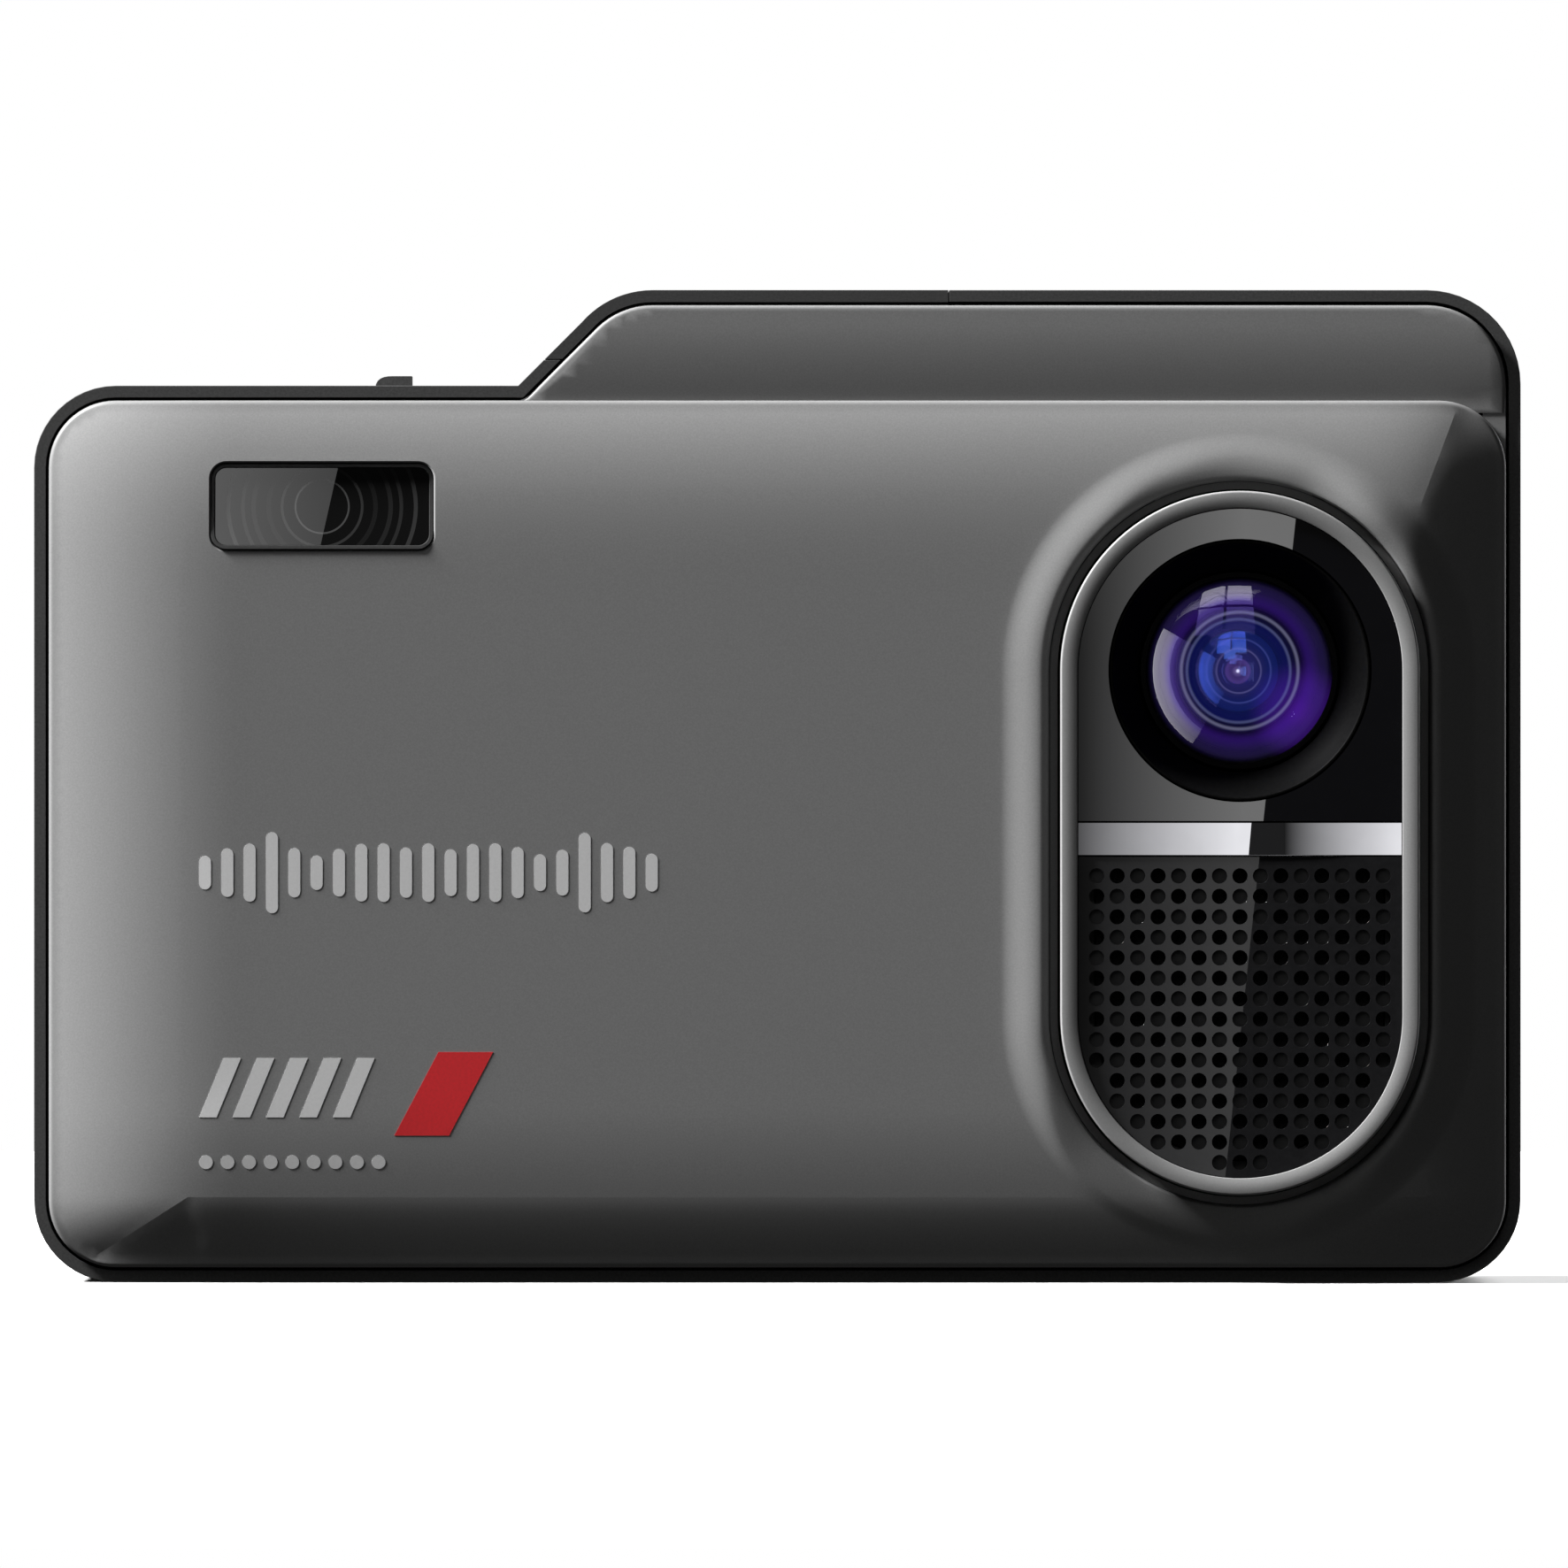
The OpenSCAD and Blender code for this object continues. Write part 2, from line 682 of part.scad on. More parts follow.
module main_board() color("darkgreen")
    slab(board_front, board_back) difference() {
        rounded([-45.8, 2.4], [45.8, 57.2], 1);
        for (p = case_points) translate(p) post_notch(sign(p.x), sign(p.y - body_h / 2));
        for (p = board_points) translate([p.x, p.y]) circle(r = board_screw_r + 0.1);
    }

module processor() color("#202020")
    slab(board_front - 1, board_front) pad(2, 45, 15, 15, 0.4);

module heatsink() color("silver")
    difference() {
        slab(0.6, board_front - 1) pad(2, 45, 20, 18, 0.5);
        for (i = [-4:4]) block([2 + i * 2 - 0.55, 0, 35], [2 + i * 2 + 0.55, 5.2, 55]);
    }

module memory_chips() color("#242424")
    for (p = [[20, 54], [-14, 53.5], [14.5, 24]])
        slab(board_front - 1, board_front) pad(p.x, p.y, 9, 5, 0.3);

module board_screws() color("silver")
    for (p = board_points) screw(p.x, p.y, board_screw_r, 1.35, 0.8, board_back, 3.2);

module microphone() color("silver")
    slab(board_front - 1.2, board_front) pad(-30, 5, 4, 3, 0.4);

// Two upright cells, each with a pair of leads that turn in to the main board
module supercapacitors() color("#2b3f66")
    for (x = [-38.6, -29.9]) {
        translate([x, 1.2, 3.4]) cylinder(r = 4.1, h = 22);
        for (s = [-1, 1]) {
            block([x + s * 1.6 - 0.3, 0.9, 2.7], [x + s * 1.6 + 0.3, 1.5, 3.5]);
            block([x + s * 1.6 - 0.3, 0.9, 2.6], [x + s * 1.6 + 0.3, board_front, 3.2]);
        }
    }

module clock_battery() color("silver")
    rod_y(-16.5, 45, 4.8, board_front - 2.6, board_front);

// ---------- radar and satellite receivers ----------

// Flared horn that looks out through the plastic face
module radar_horn() color("silver")
    difference() {
        union() {
            hull() {
                slab(-7.9, -7.4) pad(-8, 24, 27, 17, 0.8);
                slab(2, 2.5) pad(-8, 24, 13, 7, 0.8);
            }
            slab(1.8, 3) pad(-8, 24, 22, 14, 1);
        }
        hull() {
            slab(-8, -7.9) pad(-8, 24, 25.4, 15.4, 0.4);
            slab(1.5, 1.6) pad(-8, 24, 10.7, 4.3, 0.4);
        }
        slab(1, 4) pad(-8, 24, 10.7, 4.3, 0.4);
    }

// Board behind the horn, on four posts from the main board
module radar_board() color("#d8d2b8")
    union() {
        slab(3, 3.8) pad(-8, 24, 30, 20, 1);
        for (x = [-21.9, 5.9], z = [15.1, 32.9]) rod_y(x, z, 0.9, 3.5, board_front);
    }

module radar_shield() color("silver")
    slab(3.8, 6.4) pad(-8, 24, 26, 16, 0.6);

module gps_antenna() color("#c9b48c")
    block([18.5, -4.6, 59.3], [33.5, 10.4, 63.3]);

// Board under the aerial, with a shielded receiver and a header down to the main board
module gps_board() color("darkgreen")
    union() {
        block([17.5, -4.8, 58.5], [34.5, 10.6, 59.3]);
        block([20, -4, 57.5], [32, 5, 58.6]);
        block([26, 6.2, 55.6], [33, board_front, 58.6]);
    }

// ---------- sockets ----------

module card_socket() color("silver")
    difference() {
        block([-47, card_y - 0.5, card_z - 7], [-32.6, board_front, card_z + 7]);
        block([-48, card_y - 0.1, card_z - 5.6], [-33.4, card_y + 0.95, card_z + 5.6]);
    }

module memory_card() color("#1c1c1e")
    union() {
        block([-48.7, card_y, card_z - 5.5], [-33.7, card_y + 0.75, card_z + 5.5]);
        block([-48.7, card_y + 0.7, card_z - 5.5], [-47.6, card_y + 0.95, card_z + 5.5]);
    }

module usb_port() color("silver")
    difference() {
        along_x(41.6, 48.7) pad(usb_y, usb_z, 3.1, 8.9, 1.5);
        difference() {
            along_x(42.4, 49) pad(usb_y, usb_z, 2.5, 8.3, 1.24);
            block([42, usb_y - 0.35, usb_z - 3.3], [48, usb_y + 0.35, usb_z + 3.3]);
        }
    }

// ---------- controls ----------

// Flush key with two finger ribs, and a flange that keeps it in
module side_key() color("gray")
    union() {
        block([-half_w, key_y - key_l / 2, key_z - key_h / 2],
            [-47.3, key_y + key_l / 2, key_z + key_h / 2]);
        for (z = [key_z - 1.66, key_z + 0.36])
            block([-half_w - 0.18, key_y - key_l / 2 + 0.3, z],
                [-half_w + 0.2, key_y + key_l / 2 - 0.3, z + 1.3]);
        block([-47.35, key_y - key_l / 2 - 0.5, key_z - 2.7], [-46.7, key_y + 3.9, key_z + 2.7]);
        block([-46.8, 4.6, key_z - 0.6], [-44.2, 5.8, key_z + 0.6]);
    }

module switch_plunger() color("white")
    translate([-44.2, 5.2, key_z]) rotate([0, 90, 0]) cylinder(r = 0.7, h = 1.6);

module key_switch() color("#303030")
    difference() {
        block([-43.6, 3.4, key_z - 3], [-41, board_front, key_z + 3]);
        translate([-44, 5.2, key_z]) rotate([0, 90, 0]) cylinder(r = 0.75, h = 2.15 + key_travel);
    }

// Thumb nub with a sloping left side, a stem through the slot and a plate under the wall
module power_slider() color("#202020")
    union() {
        translate([0, knob_y + 2, 0]) rotate([90, 0, 0]) linear_extrude(4) polygon([
            for (a = [0:15:90])
                [knob_x + 1.15 * (1 - sin(a)), low_h + knob_h * (1 - pow(1 - cos(a), 1.3))],
            [knob_x, low_h + 0.03], [knob_x + knob_w, low_h + 0.03], [knob_x + knob_w, low_h + knob_h]
        ]);
        block([knob_x + 0.4, knob_y - 0.5, low_h - wall - 0.5],
            [knob_x + 2, knob_y + 0.5, low_h + 0.1]);
        block([knob_x - 1.6, knob_y - 2.3, low_h - wall - 0.9],
            [knob_x + 6.2, knob_y + 2.3, low_h - wall - 0.1]);
    }

module slider_lever() color("white")
    block([knob_x + 0.5, knob_y - 0.45, 54.8], [knob_x + 1.9, knob_y + 0.45, low_h - wall - 0.9]);

module power_switch() color("silver")
    difference() {
        block([knob_x - 2, 3, 52.8], [knob_x + 7, board_front, 56.2]);
        block([knob_x + 0.3, knob_y - 0.6, 54.4], [knob_x + 2.1 + slider_travel, knob_y + 0.6, 57]);
    }

// ---------- display ----------

module display_glass() color("#08080a")
    slab(y_back - glass_t - 0.1, y_back - 0.1) pad(0, screen_z, glass_w, glass_h, 2.9);

module display_panel() color("#20242c")
    slab(10.7, y_back - glass_t - 0.2) pad(0, screen_z, lcd_w, lcd_h, 0.3);

module display_ribbon() color("#b07a30")
    union() {
        slab(9.9, 10.1) pad(-6, 11, 18, 12, 0.4);
        slab(board_back, 9.95) pad(-6, 15, 14, 3, 0.3);
        slab(10.05, 10.7) pad(-6, 6.2, 18, 2, 0.3);
    }

module status_light() color("palegreen")
    union() {
        rod_y(44.4, screen_z, 0.8, 9.7, y_back - 0.05);
        block([43.6, board_back, screen_z - 0.6], [45.2, 9.7, screen_z + 0.6]);
    }

front_cover();
mid_frame();
rear_cover();
mount_dock();
dock_magnets();
dock_contacts();
camera_bezel();
camera_window();
chrome_strip();
speaker_grille();
grille_cloth();
lens_hood();
lens_barrel();
lens_front_element();
lens_spacer_ring();
lens_middle_element();
lens_rear_element();
lens_holder();
ir_filter();
image_sensor();
camera_board();
camera_ribbon();
camera_screws();
speaker_basket();
speaker_surround();
speaker_cone();
voice_coil();
speaker_magnet();
window_gasket();
laser_window();
laser_lens();
laser_sensor();
laser_board();
main_board();
processor();
heatsink();
memory_chips();
board_screws();
microphone();
supercapacitors();
clock_battery();
radar_horn();
radar_board();
radar_shield();
gps_antenna();
gps_board();
card_socket();
memory_card();
usb_port();
side_key();
switch_plunger();
key_switch();
power_slider();
slider_lever();
power_switch();
display_glass();
display_panel();
display_ribbon();
status_light();
case_screws();
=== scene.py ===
import json
import math

import bmesh
import bpy
import numpy as np
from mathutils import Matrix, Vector
from mathutils.geometry import delaunay_2d_cdt


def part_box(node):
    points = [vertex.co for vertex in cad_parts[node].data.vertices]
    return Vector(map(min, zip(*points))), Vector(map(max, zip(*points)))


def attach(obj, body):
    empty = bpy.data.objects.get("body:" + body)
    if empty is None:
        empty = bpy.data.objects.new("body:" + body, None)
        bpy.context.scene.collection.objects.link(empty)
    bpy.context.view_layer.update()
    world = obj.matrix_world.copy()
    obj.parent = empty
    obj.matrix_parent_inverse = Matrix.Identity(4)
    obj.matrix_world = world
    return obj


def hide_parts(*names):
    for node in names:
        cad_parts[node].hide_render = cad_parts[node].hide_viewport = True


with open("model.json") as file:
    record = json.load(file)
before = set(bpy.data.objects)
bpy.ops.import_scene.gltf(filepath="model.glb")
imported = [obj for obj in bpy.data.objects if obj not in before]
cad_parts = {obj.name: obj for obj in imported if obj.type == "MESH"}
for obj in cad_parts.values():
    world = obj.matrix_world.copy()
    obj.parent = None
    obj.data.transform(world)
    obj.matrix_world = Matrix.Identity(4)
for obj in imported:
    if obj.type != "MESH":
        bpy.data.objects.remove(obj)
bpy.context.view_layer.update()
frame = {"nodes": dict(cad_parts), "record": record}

# Shapes are worked out in millimetres and become metres when a mesh is made.
MM = 0.001


def node_box(node):
    """Lowest and highest corner of a CAD node in millimetres."""
    low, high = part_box(node)
    return Vector(low) / MM, Vector(high) / MM


# ---------- measures, from the CAD frame ----------

HALF_W = node_box("mid_frame")[1].x
BODY_H = node_box("mid_frame")[1].z
Y_SPLIT = node_box("rear_cover")[0].y
Y_BACK = node_box("rear_cover")[1].y
INSET = HALF_W - node_box("front_cover")[1].x  # width of the frame's rim round the front cover
window_low, window_high = node_box("camera_window")
barrel_low, barrel_high = node_box("lens_barrel")
CAM_X = (window_low.x + window_high.x) / 2
LENS_Z = (barrel_low.z + barrel_high.z) / 2
PANEL_R = (window_high.x - window_low.x) / 2
SPEAKER_Z = node_box("speaker_grille")[0].z + PANEL_R
Y_RING = node_box("camera_bezel")[0].y
Y_PANEL = window_low.y

LOW_H = BODY_H - 6.3  # top of the low side
CORNER_R = 5.4
TALL_R = 6.2
SLOPE_FOOT_X = -17.1
FOOT_FILLET = 0.5
RING_R = 11.8
Y_FACE = -11.6
Y_FACE_BACK = -7.9
Y_SHELF = -8.6
Y_SHELF_BACK = -5.05
SOFT_W = 12.6
FACE_X = HALF_W - INSET
FACE_LO = INSET
FACE_HI = LOW_H - INSET
FACE_R = CORNER_R - INSET
WINDOW_X, WINDOW_Z = -29.96, 51.1
WINDOW_W, WINDOW_H = 14.7, 5.8
# Radius, width and strength of painted highlights: the rings of the lens behind the laser window, painted
# lighter into the window's colour
WINDOW_PAINTED_RINGS = [(1.75, 0.12, 1.0), (2.62, 0.2, 0.45), (3.5, 0.3, 0.12), (4.5, 0.3, 0.2), (5.2, 0.22, 0.3),
                (6.15, 0.25, 0.5)]

# ---------- camera ----------

VIEW_W = 103.18  # width of the view at the object, in millimetres
VIEW_X = 0.44
VIEW_Z = 32.84
CAMERA_DISTANCE = 2000.0

camera_data = bpy.data.cameras.new("camera")
camera_data.sensor_width = 36.0
camera_data.lens = 36.0 * (CAMERA_DISTANCE + Y_FACE) / VIEW_W
camera_data.clip_start = 0.05
camera_data.clip_end = 20.0
camera = bpy.data.objects.new("camera", camera_data)
camera.location = Vector((VIEW_X, -CAMERA_DISTANCE, VIEW_Z)) * MM
camera.rotation_euler = (math.radians(90), 0, 0)
bpy.context.scene.collection.objects.link(camera)
bpy.context.scene.camera = camera


# ---------- materials ----------

def new_material(name):
    """A node material, with its nodes, links and main shader."""
    material = bpy.data.materials.new(name)
    material.use_nodes = True
    nodes = material.node_tree.nodes
    links = material.node_tree.links
    return material, nodes, links, nodes["Principled BSDF"]


def set_inputs(shader, **values):
    """Sets a shader's sockets by name; an underscore stands for a space."""
    for name, value in values.items():
        shader.inputs[name.replace("_", " ")].default_value = value


def grey(value):
    return (value, value, value, 1.0)


def grain(nodes, links, scale, detail=2.0):
    """Noise in the object's own space; scale is in grains to the millimetre."""
    place = nodes.new("ShaderNodeTexCoord")
    noise = nodes.new("ShaderNodeTexNoise")
    set_inputs(noise, Scale=scale / MM, Detail=detail, Roughness=0.6)
    links.new(place.outputs["Object"], noise.inputs["Vector"])
    return noise.outputs["Fac"]


def vary_colour(nodes, links, shader, factor, dark, light):
    """Base colour between two tones; the ends of the noise are cut off, so both tones are reached."""
    ramp = nodes.new("ShaderNodeValToRGB")
    ramp.color_ramp.elements[0].position = 0.3
    ramp.color_ramp.elements[0].color = dark
    ramp.color_ramp.elements[1].position = 0.7
    ramp.color_ramp.elements[1].color = light
    links.new(factor, ramp.inputs["Fac"])
    links.new(ramp.outputs["Color"], shader.inputs["Base Color"])


def vary_roughness(nodes, links, shader, factor, low, high):
    """Roughness between two values."""
    spread = nodes.new("ShaderNodeMapRange")
    set_inputs(spread, To_Min=low, To_Max=high)
    links.new(factor, spread.inputs["Value"])
    links.new(spread.outputs["Result"], shader.inputs["Roughness"])


def add_bump(nodes, links, shader, factor, height):
    """Bump of a height in millimetres."""
    bump = nodes.new("ShaderNodeBump")
    set_inputs(bump, Strength=1.0, Distance=height * MM)
    links.new(factor, bump.inputs["Height"])
    links.new(bump.outputs["Normal"], shader.inputs["Normal"])


def speckled(name, dark, light, grain_scale, roughness, bump, metallic=0.0, specular=0.5):
    """A moulded, painted or blasted finish with a fine grain."""
    material, nodes, links, shader = new_material(name)
    set_inputs(shader, Metallic=metallic, Specular_IOR_Level=specular)
    factor = grain(nodes, links, grain_scale)
    vary_colour(nodes, links, shader, factor, dark, light)
    patches = grain(nodes, links, grain_scale * 0.1)
    vary_roughness(nodes, links, shader, patches, roughness * 0.9, roughness * 1.1)
    if bump:
        add_bump(nodes, links, shader, factor, bump)
    return material


def brushed(name, colour, direction, roughness):
    """Metal with fine lines along one axis."""
    material, nodes, links, shader = new_material(name)
    set_inputs(shader, Metallic=1.0)
    place = nodes.new("ShaderNodeTexCoord")
    stretch = nodes.new("ShaderNodeMapping")
    stretch.inputs["Scale"].default_value = [0.03 if axis == direction else 1.0 for axis in range(3)]
    noise = nodes.new("ShaderNodeTexNoise")
    set_inputs(noise, Scale=12 / MM, Detail=3.0)
    links.new(place.outputs["Object"], stretch.inputs["Vector"])
    links.new(stretch.outputs["Vector"], noise.inputs["Vector"])
    factor = noise.outputs["Fac"]
    vary_colour(nodes, links, shader, factor, [c * 0.8 for c in colour] + [1.0], [*colour, 1.0])
    vary_roughness(nodes, links, shader, factor, roughness * 0.7, roughness * 1.3)
    add_bump(nodes, links, shader, factor, 0.002)
    return material


def polished(name, colour, roughness):
    """Mirror-bright metal with a faint change of tone."""
    material, nodes, links, shader = new_material(name)
    set_inputs(shader, Metallic=1.0, Roughness=roughness)
    dark = [c * 0.96 for c in colour] + [1.0]
    vary_colour(nodes, links, shader, grain(nodes, links, 0.5), dark, [*colour, 1.0])
    return material


def glossy_plastic(name, colour, roughness=0.06, coat=0.0):
    """Polished plastic with a faint waviness."""
    material, nodes, links, shader = new_material(name)
    set_inputs(shader, Coat_Weight=coat, Coat_Roughness=0.0)
    factor = grain(nodes, links, 0.6)
    vary_colour(nodes, links, shader, factor, [c * 0.85 for c in colour] + [1.0], [*colour, 1.0])
    vary_roughness(nodes, links, shader, factor, roughness * 0.8, roughness * 1.2)
    return material


def by_depth(nodes, links, near_y, far_y, near, far):
    """A value that goes from near to far between two depths in millimetres."""
    place = nodes.new("ShaderNodeTexCoord")
    split = nodes.new("ShaderNodeSeparateXYZ")
    change = nodes.new("ShaderNodeMapRange")
    set_inputs(change, From_Min=near_y * MM, From_Max=far_y * MM, To_Min=near, To_Max=far)
    links.new(place.outputs["Object"], split.inputs["Vector"])
    links.new(split.outputs["Y"], change.inputs["Value"])
    return change.outputs["Result"]

def faced_plastic(name, colour, face_y):
    """Dark plastic, mirror-smooth on its front face and matt in its holes and dimples."""
    material, nodes, links, shader = new_material(name)
    set_inputs(shader, Specular_IOR_Level=0.24)
    dark = [c * 0.8 for c in colour] + [1.0]
    vary_colour(nodes, links, shader, grain(nodes, links, 2.0), dark, [*colour, 1.0])
    roughness = by_depth(nodes, links, face_y + 0.01, face_y + 0.05, 0.0, 0.5)
    links.new(roughness, shader.inputs["Roughness"])
    return material

def from_axis(nodes, links, centre, reach):
    """Distance from a line along Y through centre, as a share of reach; both in millimetres."""
    place = nodes.new("ShaderNodeTexCoord")
    flat = nodes.new("ShaderNodeVectorMath")
    flat.operation = "MULTIPLY_ADD"
    flat.inputs[1].default_value = (1, 0, 1)
    flat.inputs[2].default_value = (-centre[0] * MM, 0, -centre[1] * MM)
    length = nodes.new("ShaderNodeVectorMath")
    length.operation = "LENGTH"
    share = nodes.new("ShaderNodeMapRange")
    set_inputs(share, From_Min=0.0, From_Max=reach * MM)
    links.new(place.outputs["Object"], flat.inputs[0])
    links.new(flat.outputs["Vector"], length.inputs[0])
    links.new(length.outputs["Value"], share.inputs["Value"])
    return share.outputs["Result"]


def colour_ramp(nodes, links, factor, stops, interpolation="EASE"):
    """A ramp from a list of positions and colours."""
    ramp = nodes.new("ShaderNodeValToRGB")
    ramp.color_ramp.interpolation = interpolation
    elements = ramp.color_ramp.elements
    elements.remove(elements[1])
    elements[0].position, elements[0].color = stops[0]
    for position, colour in stops[1:]:
        elements.new(position).color = colour
    links.new(factor, ramp.inputs["Fac"])
    return ramp.outputs["Color"]


def coated_glass(name, reach, tints, strengths, back_y, glow, painted_flare=None):
    """Clear glass with a coloured coating; tint and strength change from the lens axis out to its rim.

    The coating ends before back_y, so the flat back has none. glow is painted light about the axis:
    emission that stands in for reflections and lit edges inside the lens.
    painted_flare is a painted reflection, a glowing patch away from the axis: its centre, radius and
    colours.
    """
    material, nodes, links, shader = new_material(name)
    nodes.remove(shader)
    share = from_axis(nodes, links, (CAM_X, LENS_Z), reach)
    clear = nodes.new("ShaderNodeBsdfTransparent")
    coat = nodes.new("ShaderNodeBsdfGlossy")
    coat.inputs["Roughness"].default_value = 0.0
    links.new(colour_ramp(nodes, links, share, tints), coat.inputs["Color"])
    mix = nodes.new("ShaderNodeMixShader")
    coating = nodes.new("ShaderNodeMath")
    coating.operation = "MULTIPLY"
    levels = [(place, grey(strength)) for place, strength in strengths]
    links.new(colour_ramp(nodes, links, share, levels), coating.inputs[0])
    links.new(by_depth(nodes, links, back_y - 0.12, back_y - 0.06, 1.0, 0.0), coating.inputs[1])
    links.new(coating.outputs["Value"], mix.inputs["Fac"])
    links.new(clear.outputs["BSDF"], mix.inputs[1])
    links.new(coat.outputs["BSDF"], mix.inputs[2])
    surface = mix.outputs["Shader"]
    patches = [(share, glow)]
    if painted_flare:
        centre, radius, stops = painted_flare
        patches.append((from_axis(nodes, links, centre, radius), stops))
    # Painted light: emission added to the glass, glowing though it is no lamp
    for spread, stops in patches:
        painted_bloom = nodes.new("ShaderNodeEmission")
        painted_bloom.inputs["Strength"].default_value = 1.0
        links.new(colour_ramp(nodes, links, spread, stops), painted_bloom.inputs["Color"])
        add = nodes.new("ShaderNodeAddShader")
        links.new(surface, add.inputs[0])
        links.new(painted_bloom.outputs["Emission"], add.inputs[1])
        surface = add.outputs["Shader"]
    links.new(surface, nodes["Material Output"].inputs["Surface"])
    return material


def painted_ring_plastic(name, centre, dark, light, rings):
    """Dark mirror-smooth plastic with painted highlights: lighter rings about a line along Y, each a
    radius, width and strength.
    """
    material, nodes, links, shader = new_material(name)
    reach = 7.5
    stops = [(0.0, dark)]
    for radius, width, level in rings:
        stops.append(((radius - width / 2) / reach, [a + (b - a) * level for a, b in zip(dark, light)]))
        stops.append(((radius + width / 2) / reach, dark))
    share = from_axis(nodes, links, centre, reach)
    links.new(colour_ramp(nodes, links, share, stops, "CONSTANT"), shader.inputs["Base Color"])
    set_inputs(shader, Roughness=0.0)
    return material


# Painted light in the glass, glowing though it is no lamp: a share of its radius and a colour. Narrow rings
# are painted highlights of edges inside the lens.
INNER_PAINTED_GLOW = [
    (0.0, (0.002, 0.003, 0.015, 1)), (0.34, (0.002, 0.003, 0.015, 1)), (0.36, (0.03, 0.03, 0.08, 1)),
    (0.39, (0.002, 0.003, 0.02, 1)), (0.5, (0.001, 0.003, 0.025, 1)), (0.52, (0.015, 0.02, 0.08, 1)),
    (0.55, (0.002, 0.004, 0.03, 1)), (0.8, (0.002, 0.003, 0.035, 1)), (0.84, (0.03, 0.035, 0.09, 1)),
    (0.88, (0.002, 0.002, 0.015, 1)), (1.0, (0.002, 0.002, 0.01, 1)),
]
# Painted reflections on the front glass: a pale ring and a violet band
OUTER_PAINTED_GLOW = [
    (0.0, grey(0.0)), (0.6, grey(0.0)), (0.63, (0.05, 0.05, 0.08, 1)), (0.66, (0.002, 0.001, 0.01, 1)),
    (0.75, (0.008, 0.002, 0.045, 1)), (0.9, (0.004, 0.002, 0.02, 1)), (1.0, grey(0.0)),
]
# Painted reflection: a violet patch on the front glass, off its axis; its centre, radius and colours
VIOLET_PAINTED_FLARE = (
    (CAM_X + 3.9, LENS_Z - 2.7), 3.6,
    [(0.0, (0.018, 0.002, 0.075, 1)), (0.4, (0.012, 0.002, 0.055, 1)), (1.0, grey(0.0))],
)
# Painted highlight: a bright spot at the centre of the rear glass, with fainter painted rings round it
REAR_PAINTED_GLOW = [
    (0.0, (0.5, 0.5, 0.7, 1)), (0.07, (0.05, 0.03, 0.1, 1)), (0.16, (0.02, 0.008, 0.05, 1)),
    (0.3, (0.03, 0.015, 0.08, 1)), (0.34, (0.006, 0.004, 0.03, 1)), (1.0, (0.001, 0.002, 0.015, 1)),
]

